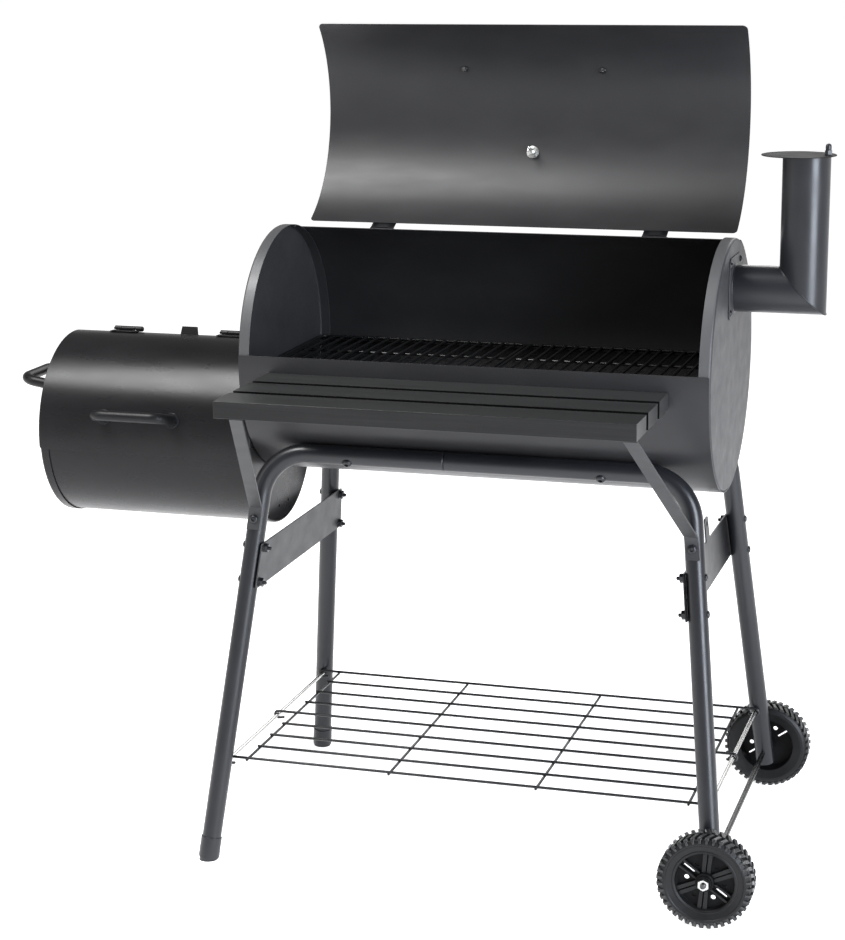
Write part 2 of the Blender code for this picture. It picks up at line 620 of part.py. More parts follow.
# ------------------------------------------------------------------ stand
def leg_point(side_x, side_y, z):
    """A point on a leg's centre line at a height."""
    share = 1 - z / BAR_Z
    x = CORNER_X + (FOOT_X - CORNER_X) * share
    y = BAR_Y + (FOOT_Y - BAR_Y) * share
    return Vector((side_x * x, side_y * y, z))


def make_frames():
    """Front and rear frames, each in two halves; the left half's end is swaged to enter the right."""
    for side_y, row in ((-1, "front"), (1, "rear")):
        for side_x, name in ((-1, "left"), (1, "right")):
            foot_z = 0.010 if side_x < 0 else 0.048
            seam = Vector((FRAME_SEAM_X + (GAP if side_x > 0 else -0.002), side_y * BAR_Y, BAR_Z))
            corners = [seam, leg_point(side_x, side_y, BAR_Z), leg_point(side_x, side_y, foot_z)]
            path = [(*point, 1.0) for point in bend_path(corners, FRAME_BEND, 6)]
            if side_x < 0:
                swaged = [(FRAME_SEAM_X + reach, side_y * BAR_Y, BAR_Z, 0.87) for reach in (0.035, 0.0)]
                path = swaged + path
            frame = curve_to_mesh(add_rod(f"frame_{row}_{name}", [path], TUBE_R, "black_tube", 10, False))
            frame.data.shade_smooth()
            wall = frame.modifiers.new("Wall", "SOLIDIFY")
            wall.thickness = TUBE_WALL
            wall.offset = -1
            place(frame, stand)
            if side_x > 0:
                drill = add_cylinder(f"axle_hole_{row}", AXLE_R + GAP, 0.06, Matrix.Rotation(pi / 2, 4, "X"), 16)
                place(as_cutter(drill), stand, Matrix.Translation((AXLE_X, side_y * 0.245, WHEEL_R)))
                boolean(frame, drill)


def make_foot_caps():
    """Plastic cups over the left legs' ends, cut flat where they meet the floor."""
    floor = as_cutter(add_box("floor", (1.0, 1.0, 0.05), (-0.3, 0, -0.025)))
    place(floor, stand)
    wall_in, wall_out, mouth = TUBE_R + GAP, TUBE_R + 0.0018, 0.034
    cup = [(0, 0.0097), (wall_in, 0.0097), (wall_in, mouth), (wall_out, mouth), (wall_out, -0.005), (0, -0.005)]
    for side_y, name in ((-1, "front"), (1, "rear")):
        up = (leg_point(-1, side_y, 0.2) - leg_point(-1, side_y, 0)).to_track_quat("Z", "Y").to_matrix().to_4x4()
        cap = add_turned("foot_cap_" + name, cup, 24, "black_plastic")
        place(cap, stand, Matrix.Translation(leg_point(-1, side_y, 0)) @ up)
        boolean(cap, floor)


def make_side_plates():
    """Flat plates on the inner sides of the leg pairs; the right one has an ear with a hole."""
    lean = Vector((FOOT_X - CORNER_X, 0, BAR_Z)).normalized()
    thickness, half_height = 0.002, 0.033
    for side, name in ((-1, "left"), (1, "right")):
        slope = Vector((-side * lean.x, 0, lean.z))
        out = Vector((0, 1, 0)).cross(slope)
        matrix = Matrix((Vector((0, 1, 0)), slope, out)).transposed().to_4x4()
        centre = Vector((side * abs(leg_point(1, 1, PLATE_Z).x), 0, PLATE_Z))
        matrix.translation = centre + Vector((-side * out.x, 0, -side * out.z)).normalized() * (
            TUBE_R + GAP + thickness / 2)
        ends = [abs(leg_point(1, 1, PLATE_Z + rise).y) + 0.012 for rise in (-half_height, half_height)]
        outline = [(-ends[0], -half_height), (ends[0], -half_height), (ends[1], half_height)]
        if side > 0:
            outline += [(0.0275, half_height), *arc_points((0.0215, 0.062), 0.004, 0, pi / 2, 4),
                        *arc_points((0.0055, 0.062), 0.004, pi / 2, pi, 4), (-0.0005, half_height)]
        outline.append((-ends[1], half_height))
        outlines = [outline]
        if side > 0:
            outlines.append(arc_points((0.0135, 0.0565), 0.004, 0, 2 * pi, 12)[:-1])
        plate = add_plate("side_plate_" + name, outlines, thickness)
        place(plate, stand, matrix)


def make_rack():
    """The wire rack near the floor: nine long wires welded on four cross wires, and two rods."""
    wire_r, rod_r, rod_x = 0.002, 0.003, 0.355
    half_width, cross_x = 0.212, 0.327
    rod_z = RACK_Z - wire_r - rod_r - GAP
    hook_r = wire_r + rod_r + GAP
    long_wires = []
    for number in range(9):
        y = -half_width + number * half_width / 4
        if number in (0, 4, 8):
            turns = [pi * 1.25 - step * pi * 0.75 / 5 for step in range(6)]
            hook = [(hook_r * cos(turn), hook_r * sin(turn)) for turn in turns]
            left = [(-rod_x + across, y, rod_z + up) for across, up in hook]
            right = [(rod_x - across, y, rod_z + up) for across, up in reversed(hook)]
            long_wires.append(left + right)
        else:
            end = cross_x + 0.005
            long_wires.append([(-end, y, RACK_Z), (end, y, RACK_Z)])
    cross_z = RACK_Z - 1.6 * wire_r
    cross_wires = []
    for x in (-cross_x, -cross_x / 3, cross_x / 3, cross_x):
        cross_wires.append([(x, -half_width - 0.002, cross_z), (x, half_width + 0.002, cross_z)])
    rack = curve_to_mesh(add_rod("wire_rack", long_wires, wire_r, "grate_wire", 6))
    cross = curve_to_mesh(add_rod("cross_wires", cross_wires, wire_r, "grate_wire", 6))
    place(rack, stand)
    place(as_cutter(cross), stand)
    boolean(rack, cross, "UNION")
    for side, name in ((-1, "left"), (1, "right")):
        half = 0.2154
        rod = add_cylinder("rack_rod_" + name, rod_r, 2 * half, Matrix.Rotation(pi / 2, 4, "X"), 16, "zinc")
        place(rod, stand, Matrix.Translation((side * rod_x, 0, rod_z)))


def make_wheels():
    """A solid axle through the right legs, a wheel at each end and a nut outside each wheel."""
    along_y = Matrix.Rotation(pi / 2, 4, "X")
    half = WHEEL_INNER + 0.0505
    axle = add_cylinder("axle", AXLE_R, 2 * half, along_y, 24, "zinc")
    place(axle, stand, Matrix.Translation((AXLE_X, 0, WHEEL_R)))
    bore, hub, rim = AXLE_R + 0.00008, 0.012, 0.0405
    profile = [(bore, 0.040), (hub, 0.040), (hub, 0.027), (rim, 0.027), (rim, 0.036), (0.059, 0.0405),
               (WHEEL_R, 0.0355), (WHEEL_R, 0.0075), (0.059, 0.0025), (rim, 0.007), (rim, 0.015),
               (hub, 0.015), (hub, 0.0), (bore, 0.0)]
    for side, name in ((-1, "front"), (1, "rear")):
        pivot = make_empty(f"wheel_{name}_axis", (AXLE_X, 0, WHEEL_R), smoker)
        outboard = Matrix.Rotation(-side * pi / 2, 4, "X")
        wheel = add_turned("wheel_" + name, profile, 36, "black_plastic", closed=True)
        place(wheel, pivot, Matrix.Translation((AXLE_X, side * WHEEL_INNER, WHEEL_R)) @ outboard)
        nut = add_pipe("axle_nut_" + name, 0.0075, AXLE_R + 0.0008, 0.0065, 6, "zinc")
        place(nut, stand, Matrix.Translation((AXLE_X, side * (WHEEL_INNER + 0.0406), WHEEL_R)) @ outboard)


# ------------------------------------------------------------------ build
smoke_port = make_barrel()
make_barrel_lid()
make_firebox(smoke_port)
make_firebox_lid()
for hinge_x, hinge_side in ((-0.207, "left"), (0.207, "right")):
    make_hinge("barrel", hinge_side, hinge_x, 0.036, BARREL_Z, LID_AXIS_R, LID_AXIS_ANGLE,
               BARREL_R, LID_R, barrel_lid_pivot)
for hinge_x, hinge_side in ((-0.087, "left"), (0.087, "right")):
    make_hinge("firebox", hinge_side, FIREBOX_MIDDLE + hinge_x, 0.045, FIREBOX_Z, FIREBOX_AXIS_R,
               FIREBOX_AXIS_ANGLE, FIREBOX_SHELL_R, FIREBOX_LID_R, firebox_lid_pivot)
make_chimney()
make_shelf()
make_frames()
make_foot_caps()
make_side_plates()
make_rack()
make_wheels()
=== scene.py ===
"""The looks of an offset smoker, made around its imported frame.

Pieces are laid out from the point of the floor under the middle of the barrel, with both lids shut,
and PLACES then moves each one with its body to where it is at rest. Angles around a drum are
measured from its front (-Y), rising over its top.
"""
import json
from math import atan2, cos, pi, radians, sin, sqrt, tan

import bmesh
import bpy
from mathutils import Matrix, Vector

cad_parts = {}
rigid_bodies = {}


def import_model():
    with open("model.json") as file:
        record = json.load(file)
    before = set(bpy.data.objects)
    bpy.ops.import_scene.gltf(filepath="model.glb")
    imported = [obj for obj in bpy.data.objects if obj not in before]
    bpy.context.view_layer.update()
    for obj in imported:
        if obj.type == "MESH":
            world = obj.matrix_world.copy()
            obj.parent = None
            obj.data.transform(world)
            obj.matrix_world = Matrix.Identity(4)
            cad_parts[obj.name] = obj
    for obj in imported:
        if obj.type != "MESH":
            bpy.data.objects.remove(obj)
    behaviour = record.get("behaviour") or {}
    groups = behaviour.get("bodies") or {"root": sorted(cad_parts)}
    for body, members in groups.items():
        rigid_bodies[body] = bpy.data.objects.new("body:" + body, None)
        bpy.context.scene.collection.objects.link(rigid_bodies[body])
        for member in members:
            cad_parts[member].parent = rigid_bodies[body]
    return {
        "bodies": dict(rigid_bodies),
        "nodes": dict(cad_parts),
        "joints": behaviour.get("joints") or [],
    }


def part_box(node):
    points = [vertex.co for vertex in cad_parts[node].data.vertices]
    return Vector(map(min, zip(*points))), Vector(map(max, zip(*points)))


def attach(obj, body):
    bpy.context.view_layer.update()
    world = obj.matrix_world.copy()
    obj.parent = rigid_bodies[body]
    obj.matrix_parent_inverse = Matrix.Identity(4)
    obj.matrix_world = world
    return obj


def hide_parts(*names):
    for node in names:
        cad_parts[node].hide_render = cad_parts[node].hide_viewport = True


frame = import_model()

shift = Matrix.Translation
link = bpy.context.scene.collection.objects.link
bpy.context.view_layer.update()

# ------------------------------------------------------------------ measures, in metres; spans in degrees
GAP = 0.0003  # between parts that meet
SHEET = 0.0012  # the rolled and pressed sheet's thickness
cap_low, cap_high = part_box("barrel_cap_left")
right_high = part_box("barrel_cap_right")[1]
fire_low, fire_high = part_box("firebox_cap_left")
port_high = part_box("firebox_cap_right")[1]
BASE = Vector(((cap_low.x + right_high.x) / 2, (cap_low.y + cap_high.y) / 2, 0))
BARREL_Z = (cap_low.z + cap_high.z) / 2
BARREL_HALF = (right_high.x - cap_low.x) / 2
BARREL_R = 0.181
LID_R = BARREL_R + SHEET + GAP
FIREBOX_Z = (fire_low.z + fire_high.z) / 2
FIREBOX_ENDS = (fire_low.x - BASE.x, port_high.x - BASE.x)
FIREBOX_MIDDLE = sum(FIREBOX_ENDS) / 2
FIREBOX_R = 0.1383
FIREBOX_SHELL_R = 0.1365
FIREBOX_LID_R = 0.1398
SHELL_SPAN = (110.0, 364.6)
LID_SPAN = (4.9, 113.8)
FIREBOX_SHELL_SPAN = (92, 356.5)
FIREBOX_LID_SPAN = (-7, 95)
PORT = ((0.02, 0.15, 0.085), (-BARREL_HALF, 0, 0.6325))  # the smoke slot's size and middle
CHIMNEY_Z = 0.834
CHIMNEY_R = 0.033
HANDLE_R = 0.0079
COLLAR_R = 0.0112
VENT_HOLE_R = 0.0105
VENT_HOLES = [(0.026 * cos(turn), 0.026 * sin(turn)) for turn in (pi / 2, pi * 7 / 6, pi * 11 / 6)]
TUBE_R = 0.014
TUBE_WALL = 0.001
BAR_ANGLE = radians(48.0)
BAR_REACH = BARREL_R + TUBE_R + GAP
BAR_Y = BAR_REACH * sin(BAR_ANGLE)
BAR_Z = BARREL_Z - BAR_REACH * cos(BAR_ANGLE)
CORNER_X, FOOT_X, FOOT_Y = 0.309, 0.3733, 0.2566
FRAME_SEAM_X = -0.041
PLATE_Z = 0.432
TYRE_R = 0.0625
JOINTS = {joint["name"]: joint for joint in frame["joints"]}


def node_box(name):
    """A node's box, measured from BASE."""
    low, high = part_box(name)
    return low - BASE, high - BASE


def about_z(turn):
    return Matrix.Rotation(turn, 4, "Z")


def joint_place(name):
    return Vector(JOINTS[name]["pos_m"]) - BASE


LID_AXIS = joint_place("barrel_lid_hinge")
FIREBOX_AXIS = joint_place("firebox_lid_hinge")
DAMPER_AXIS = joint_place("damper_swing")
VENT_AXIS = joint_place("air_vent_turn")
AXLE_X = joint_place("wheel_front_spin").x
WHEEL_R = joint_place("wheel_front_spin").z
LID_OPEN = radians(JOINTS["barrel_lid_hinge"]["range_deg"][1])

AT_REST = shift(BASE)
OPENED = AT_REST @ shift(LID_AXIS) @ Matrix.Rotation(-LID_OPEN, 4, "X") @ shift(-LID_AXIS)
ALONG_X = Matrix.Rotation(pi / 2, 4, "Y")
ALONG_Y = Matrix.Rotation(pi / 2, 4, "X")
PLACES = {name: OPENED if name == "barrel_lid" else AT_REST for name in frame["bodies"]}


# ------------------------------------------------------------------ materials
def feed(tree, node, sockets):
    """Set or link a node's inputs; an underscore in a name stands for a space."""
    for name, value in sockets.items():
        socket = node.inputs[name.replace("_", " ")]
        if isinstance(value, bpy.types.NodeSocket):
            tree.links.new(value, socket)
        else:
            socket.default_value = value
    return node


class Look:
    """A material that is built up from noise in the object's own coordinates."""

    def __init__(self, name, **sockets):
        self.material = bpy.data.materials.new(name)
        self.material.use_nodes = True
        self.tree = self.material.node_tree
        self.shader = feed(self.tree, self.tree.nodes["Principled BSDF"], sockets)

    def node(self, kind, **sockets):
        return feed(self.tree, self.tree.nodes.new("ShaderNode" + kind), sockets)

    def noise(self, scale, detail=4.0, stretch=(1, 1, 1), roughness=0.55):
        place = self.node("TexCoord").outputs["Object"]
        mapping = self.node("Mapping", Vector=place, Scale=stretch).outputs["Vector"]
        return self.node("TexNoise", Vector=mapping, Scale=scale, Detail=detail,
                         Roughness=roughness).outputs["Fac"]

    def vary(self, value, low, first, high, last, socket):
        """Run a socket from its first look at low to its last at high."""
        if isinstance(socket, str):
            socket = self.shader.inputs[socket]
        self.tree.links.new(ramp(self.tree, value, ((low, first), (high, last))), socket)

    def bump(self, *heights):
        """Chained bumps; each is a height, a strength and a distance in metres."""
        chain = {}
        for height, strength, distance in heights:
            bump = self.node("Bump", Height=height, Strength=strength, Distance=distance, **chain)
            chain = {"Normal": bump.outputs["Normal"]}
        feed(self.tree, self.shader, chain)
        return self.material


def tone(colour):
    """A colour or a grey that is given in thousandths."""
    return tuple(part / 1000 for part in colour) if isinstance(colour, tuple) else colour / 1000


def ramp(tree, value, stops):
    """A colour ramp; each stop is a place and a colour or a grey."""
    node = tree.nodes.new("ShaderNodeValToRGB")
    while len(node.color_ramp.elements) < len(stops):
        node.color_ramp.elements.new(0.5)
    for element, (position, colour) in zip(node.color_ramp.elements, stops):
        element.position = position
        element.color = (*(colour if isinstance(colour, tuple) else (colour,) * 3), 1)
    tree.links.new(value, node.inputs["Fac"])
    return node.outputs["Color"]


def paint(name, dark, light, rough, peel, specular):
    """Sprayed enamel: an orange-peel skin, cloudy tone and a little dust in its gloss."""
    look = Look(name, Specular_IOR_Level=specular)
    look.vary(look.noise(9.0, 5.0, (1, 1, 1.6)), 0.3, tone(dark), 0.72, tone(light), "Base Color")
    look.vary(look.noise(26.0, 6.0, (0.5, 1.2, 1.6)), 0.3, rough[0], 0.7, rough[1], "Roughness")
    return look.bump((look.noise(620.0, 2.0), peel, 0.00012), (look.noise(24.0, 2.0), 0.04, 0.0006))


def board(name, dark, light, specular):
    """Black-stained board with a fine grain along its length."""
    look = Look(name, Specular_IOR_Level=specular)
    fibre = look.noise(34.0, 8.0, (0.18, 20.0, 20.0), 0.62)
    colour = look.tree.nodes.new("ShaderNodeMix")
    colour.data_type = "RGBA"
    colour.blend_type = "MULTIPLY"
    colour.inputs["Factor"].default_value = 0.55
    look.vary(fibre, 0.3, tone(dark), 0.7, tone(light), colour.inputs["A"])
    look.vary(look.noise(7.0, 4.0, (0.5, 9.0, 9.0)), 0.35, 0.72, 0.65, 1.0, colour.inputs["B"])
    look.tree.links.new(colour.outputs["Result"], look.shader.inputs["Base Color"])
    look.vary(fibre, 0.2, 0.28, 0.8, 0.4, "Roughness")
    return look.bump((fibre, 0.3, 0.00022), (look.noise(700.0, 2.0), 0.2, 0.0001))


def plated(name, dark, light, rough):
    """Bright plated steel with drawing marks."""
    look = Look(name, Metallic=1.0)
    mark = look.noise(260.0, 5.0)
    look.vary(mark, 0.3, tone(dark), 0.7, tone(light), "Base Color")
    look.vary(mark, 0.3, rough[0], 0.7, rough[1], "Roughness")
    return look.bump((mark, 0.25, 0.0001))


def plastic(name, dark, light, rough, specular):
    """Moulded black plastic with a spark-eroded texture."""
    look = Look(name, Specular_IOR_Level=specular)
    cloud = look.noise(60.0)
    look.vary(cloud, 0.3, tone(dark), 0.7, tone(light), "Base Color")
    look.vary(cloud, 0.3, rough[0], 0.7, rough[1], "Roughness")
    return look.bump((look.noise(1500.0, 3.0), 0.5, 0.00012))


MATERIALS = {
    "black_board": board("stained_board", 18, (36, 37, 36), 0.42),
    # a darker copy of the board for the front slat's front face, painted shade on the side away from the
    # lamps
    "board_front": board("board_fronts_painted_shade", (6, 6, 6.2), (14, 14, 14.2), 0.3),
    # a near-black copy of the board for the middle and rear slats' front faces, painted shadow in the gaps
    # between slats
    "board_side": board("board_gaps_painted_shade", 2.5, 5, 0.06),
    "black_plastic": plastic("moulded_plastic", (3.8, 3.8, 4.2), (7, 7, 7.4), (0.4, 0.52), 0.26),
    "wheel_disc": plastic("disc_plastic", (1.6, 1.6, 1.8), (3.2, 3.2, 3.5), (0.48, 0.6), 0.12),
    # lugs' plastic: the higher gloss is the plastic's own, the lighter tone a painted highlight on the lug
    # tops
    "tread": plastic("tread_plastic_painted_sheen", (9, 9, 9.2), (17, 17, 17.2), (0.3, 0.4), 0.55),
    "zinc": plated("zinc_plate", (420, 420, 410), (660, 660, 640), (0.22, 0.38)),
    "dial_steel": plated("brushed_steel", (500, 500, 490), (720, 720, 700), (0.18, 0.3)),
    "axle_steel": plated("axle_steel", 50, 120, (0.22, 0.34)),
}
PAINTS = (
    ("black_sheet", "enamel_outside", (8.5, 8.4, 9.2), (12.5, 12.2, 13), (0.3, 0.38), 0.22, 0.3),
    # this row: the lid's black enamel made lighter to brighten its open inner face, painted light; its higher
    # roughness is the paint's own
    ("inside", "enamel_inside", (14, 13.8, 14.6), (19, 18.6, 19.2), (0.38, 0.46), 0.3, 0.34),
    # this row: the black enamel made lighter to brighten the barrel's front and inside, painted light
    ("shell_sheet", "enamel_barrel", (18, 17.7, 18.8), (24, 23.6, 24.6), (0.32, 0.4), 0.22, 0.3),
    ("fire_sheet", "enamel_firebox", (7.5, 7.3, 8), (11, 10.7, 11.4), (0.25, 0.32), 0.2, 0.21),
    ("damper_sheet", "enamel_damper", (10, 10, 10.4), (15, 15, 15.4), (0.6, 0.72), 0.2, 0.12),
    ("grip", "enamel_grips", (6, 6, 6.8), (9, 9, 9.8), (0.36, 0.46), 0.2, 0.22),
    # this row: the black enamel made lighter, a painted reflection of the right-hand lamp on faces that look
    # towards it
    ("cap_sheet", "enamel_caps", (23, 23, 24.2), (30, 30, 31), (0.44, 0.54), 0.35, 0.4),
    # this row: a much lighter copy of the black enamel, a painted highlight along the end caps' flange rims
    ("flange_sheet", "enamel_flanges", (56, 56, 57), (68, 68, 69), (0.4, 0.5), 0.35, 0.42),
    ("black_tube", "enamel_tubes", (8, 8.4, 10.6), (11.2, 11.6, 14), (0.28, 0.36), 0.15, 0.42),
    ("grate_wire", "enamel_wire", (6, 6, 6.4), (10, 10, 10.4), (0.28, 0.4), 0.3, 0.4),
    ("dial_face", "dial_face", (720, 720, 690), (800, 800, 770), (0.32, 0.4), 0.05, 0.5),
    ("dial_mark", "dial_mark", 12, 20, (0.4, 0.5), 0.05, 0.5),
    ("needle", "dial_needle", (380, 20, 14), (480, 30, 20), (0.3, 0.4), 0.05, 0.5))
MATERIALS.update({key: paint(*values) for key, *values in PAINTS})


# ------------------------------------------------------------------ making pieces
def register(obj, body, slot, nodes, look):
    """Link a piece, attach it to its body, give it the material of its look, or else of its slot, and hide
    the nodes that it stands for.
    """
    link(obj)
    obj.data.materials.clear()
    obj.data.materials.append(MATERIALS[look or slot])
    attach(obj, body)
    if nodes:
        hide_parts(*nodes)
    return obj


def mesh_piece(name, bm, slot="black_tube", nodes=(), look=None, matrix=None, crease=40, bevel=0.0,
               body="stand"):
    """A piece from a bmesh that is laid out with the lids shut."""
    bmesh.ops.transform(bm, matrix=PLACES[body] @ (matrix or Matrix()), verts=bm.verts)
    mesh = bpy.data.meshes.new(name)
    bm.to_mesh(mesh)
    bm.free()
    mesh.shade_smooth()
    mesh.set_sharp_from_angle(angle=radians(crease))
    obj = register(bpy.data.objects.new(name, mesh), body, slot, nodes, look)
    if bevel:
        soften(obj, bevel)
    weigh(obj)
    return obj


def second_look(piece, look, chosen):
    """Give the chosen faces of a piece another look."""
    piece.data.materials.append(MATERIALS[look])
    for face in piece.data.polygons:
        face.material_index = int(chosen(face))


def modify(obj, kind, **values):
    modifier = obj.modifiers.new(kind, kind)
    for name, value in values.items():
        setattr(modifier, name, value)


def soften(obj, width):
    modify(obj, "BEVEL", width=width, segments=2, limit_method="ANGLE", angle_limit=radians(40))


def weigh(obj):
    modify(obj, "WEIGHTED_NORMAL", keep_sharp=True)


def thicken(obj, wall, edge):
    """Give a sheet its wall, inward, and soften its edges."""
    obj.modifiers.clear()
    modify(obj, "SOLIDIFY", thickness=wall, offset=-1)
    soften(obj, edge)
    weigh(obj)


def evaluated(obj):
    """A copy of an object's mesh with its modifiers done."""
    graph = bpy.context.evaluated_depsgraph_get()
    return bpy.data.meshes.new_from_object(obj.evaluated_get(graph))


def carve(bm, tools):
    """A bmesh with other bmeshes cut out of it."""
    objects = []
    for number, item in enumerate((bm, *tools)):
        mesh = bpy.data.meshes.new(f"carve_{number}")
        item.to_mesh(mesh)
        item.free()
        obj = bpy.data.objects.new(f"carve_{number}", mesh)
        link(obj)
        objects.append(obj)
    for tool in objects[1:]:
        modify(objects[0], "BOOLEAN", operation="DIFFERENCE", solver="EXACT", object=tool)
    result = evaluated(objects[0])
    made = bmesh.new()
    made.from_mesh(result)
    for mesh in [obj.data for obj in objects] + [result]:
        bpy.data.meshes.remove(mesh)
    return made


def finish(bm, matrix=None):
    """A bmesh with its faces turned outward, moved to its place."""
    bmesh.ops.recalc_face_normals(bm, faces=bm.faces)
    if matrix is not None:
        bmesh.ops.transform(bm, matrix=matrix, verts=bm.verts)
    return bm


def band(bm, first, second):
    """Faces between two rings of as many vertices."""
    for k, vert in enumerate(first):
        after = (k + 1) % len(first)
        bm.faces.new((vert, first[after], second[after], second[k]))


def lathe(profile, steps, matrix=None, closed=False):
    """A profile of (radius, height) turned about Z."""
    bm = bmesh.new()
    rings = []
    for radius, height in profile:
        turns = [2 * pi * k / steps for k in range(steps if radius >= 1e-6 else 1)]
        rings.append([bm.verts.new((radius * cos(turn), radius * sin(turn), height)) for turn in turns])
    pairs = list(zip(rings, rings[1:]))
    if closed:
        pairs.append((rings[-1], rings[0]))
    for first, second in pairs:
        for k in range(steps):
            corners = [first[k % len(first)], first[(k + 1) % len(first)],
                       second[(k + 1) % len(second)], second[k % len(second)]]
            corners = list(dict.fromkeys(corners))
            if len(corners) > 2:
                bm.faces.new(corners)
    return finish(bm, matrix)


def disc(radius, low, high, steps, matrix=None):
    return lathe([(0, low), (radius, low), (radius, high), (0, high)], steps, matrix)


def fillet(points, count, closed=False):
    """Round the corners of a flat outline; a corner with a third number is rounded by it."""
    result = []
    total = len(points)
    for index, point in enumerate(points):
        here = Vector(point[:2])
        if len(point) < 3 or (not closed and index in (0, total - 1)):
            result.append(tuple(here))
            continue
        come = (Vector(points[index - 1][:2]) - here).normalized()
        leave = (Vector(points[(index + 1) % total][:2]) - here).normalized()
        half = come.angle(leave) / 2
        reach = point[2] / tan(half)
        middle = here + (come + leave).normalized() * point[2] / sin(half)
        first, last = here + come * reach - middle, here + leave * reach - middle
        span = first.angle_signed(last)
        for step in range(count + 1):
            turn = -span * step / count
            result.append((middle.x + first.x * cos(turn) - first.y * sin(turn),
                           middle.y + first.x * sin(turn) + first.y * cos(turn)))
    return result


def mm(*points):
    """Points from millimetres."""
    return [tuple(part / 1000 for part in point) for point in points]


def arc(centre, radius, start, stop, count):
    return [(centre[0] + radius * cos(start + (stop - start) * k / count),
             centre[1] + radius * sin(start + (stop - start) * k / count)) for k in range(count + 1)]


def circle(centre, radius, count):
    return arc(centre, radius, 0, 2 * pi, count)[:-1]


def rectangle(x_ends, y_ends, radius, count):
    """A rectangle's outline with rounded corners."""
    corners = [(x_ends[0], y_ends[0]), (x_ends[1], y_ends[0]), (x_ends[1], y_ends[1]), (x_ends[0], y_ends[1])]
    return fillet([(*corner, radius) for corner in corners], count, True)


def prism(outline, low, high, matrix):
    """A closed outline in XY, as thick as from low to high along Z."""
    bm = bmesh.new()
    bottom, top = [[bm.verts.new((x, y, z)) for x, y in outline] for z in (low, high)]
    bm.faces.new(bottom)
    bm.faces.new(top)
    band(bm, bottom, top)
    return finish(bm, matrix)


def trace(curve, points, cyclic=False):
    """Add a run of points to a curve; a fourth number is a point's share of the radius."""
    spline = curve.splines.new("POLY")
    spline.points.add(len(points) - 1)
    spline.use_cyclic_u = cyclic
    for point, spot in zip(spline.points, points):
        point.co = (*spot[:3], 1)
        point.radius = spot[3] if len(spot) > 3 else 1.0


def round_curve(name, radius, sides):
    curve = bpy.data.curves.new(name, "CURVE")
    curve.dimensions = "3D"
    curve.bevel_depth = radius
    curve.bevel_resolution = (sides - 4) // 2
    return curve


def curve_mesh(curve):
    """A bmesh of a curve, its seams joined."""
    holder = bpy.data.objects.new("curve", curve)
    link(holder)
    mesh = evaluated(holder)
    bpy.data.objects.remove(holder, do_unlink=True)
    bm = bmesh.new()
    bm.from_mesh(mesh)
    bmesh.ops.remove_doubles(bm, verts=bm.verts, dist=1e-6)
    return bm


def plate(name, outlines, thickness, matrix, nodes, look=None, edge=0.00025, body="stand"):
    """A flat piece with holes and softened edges; the first outline is its edge."""
    curve = bpy.data.curves.new(name, "CURVE")
    curve.dimensions = "2D"
    curve.fill_mode = "BOTH"
    curve.extrude = thickness / 2
    for outline in outlines:
        trace(curve, [(x, y, 0) for x, y in outline], True)
    bm = curve_mesh(curve)
    bmesh.ops.dissolve_limit(bm, angle_limit=radians(0.5), verts=bm.verts, edges=bm.edges)
    return mesh_piece(name, bm, "black_sheet", nodes, look, matrix, 30, edge, body)


def merge(*parts):
    """One bmesh of several."""
    whole = parts[0]
    for part in parts[1:]:
        mesh = bpy.data.meshes.new("part")
        part.to_mesh(mesh)
        part.free()
        whole.from_mesh(mesh)
        bpy.data.meshes.remove(mesh)
    return whole


def bend_path(points, radius, count=10):
    """A path with its inner corners rounded to arcs."""
    points = [Vector(point) for point in points]
    path = [points[0]]
    for before, corner, after in zip(points, points[1:], points[2:]):
        come = (before - corner).normalized()
        leave = (after - corner).normalized()
        half = come.angle(leave) / 2
        middle = corner + (come + leave).normalized() * radius / sin(half)
        first = (corner + come * radius / tan(half) - middle).normalized()
        last = (corner + leave * radius / tan(half) - middle).normalized()
        path += [middle + first.slerp(last, step / count) * radius for step in range(count + 1)]
    return path + [points[-1]]


def rounded_ends(path, radius):
    """A bar's path with its ends domed; each point carries its share of the radius."""
    points = [(*point[:3], point[3] if len(point) > 3 else 1.0) for point in path]
    for end in (0, -1):
        here = Vector(points[end][:3])
        inward = (Vector(points[1 if end == 0 else -2][:3]) - here).normalized()
        dome = [(*(here + inward * radius * (1 - cos(turn))), sin(turn))
                for turn in (radians(12), radians(35), radians(62), radians(90))]
        points = dome + points[1:] if end == 0 else points[:-1] + dome[::-1]
    return points


def rod(name, paths, radius, slot="grate_wire", nodes=(), look=None, sides=20, dome=True, cyclic=False,
        matrix=None, body="stand"):
    """Round bars along paths that are laid out with the lids shut."""
    curve = round_curve(name, radius, sides)
    curve.use_fill_caps = not cyclic
    move = PLACES[body] @ (matrix or Matrix())
    for path in paths:
        points = rounded_ends(path, radius) if dome and not cyclic else [tuple(p) for p in path]
        trace(curve, [(*(move @ Vector(spot[:3])), *spot[3:]) for spot in points], cyclic)
    return register(bpy.data.objects.new(name, curve), body, slot, nodes, look)


def around(angle, radius, centre_z, x=0.0):
    """A point at an angle around a drum."""
    return Vector((x, -radius * cos(angle), centre_z + radius * sin(angle)))


def frame_at(place, out, along=(1, 0, 0)):
    """A matrix whose Z looks out and whose X lies near along."""
    out = Vector(out).normalized()
    across = out.cross(Vector(along)).normalized()
    matrix = Matrix((across.cross(out), across, out)).transposed().to_4x4()
    matrix.translation = place
    return matrix


def drum_frame(angle, radius, centre_z, x=0.0):
    """X along the drum and Z straight out of it."""
    return frame_at(around(angle, radius, centre_z, x), (0, -cos(angle), sin(angle)))


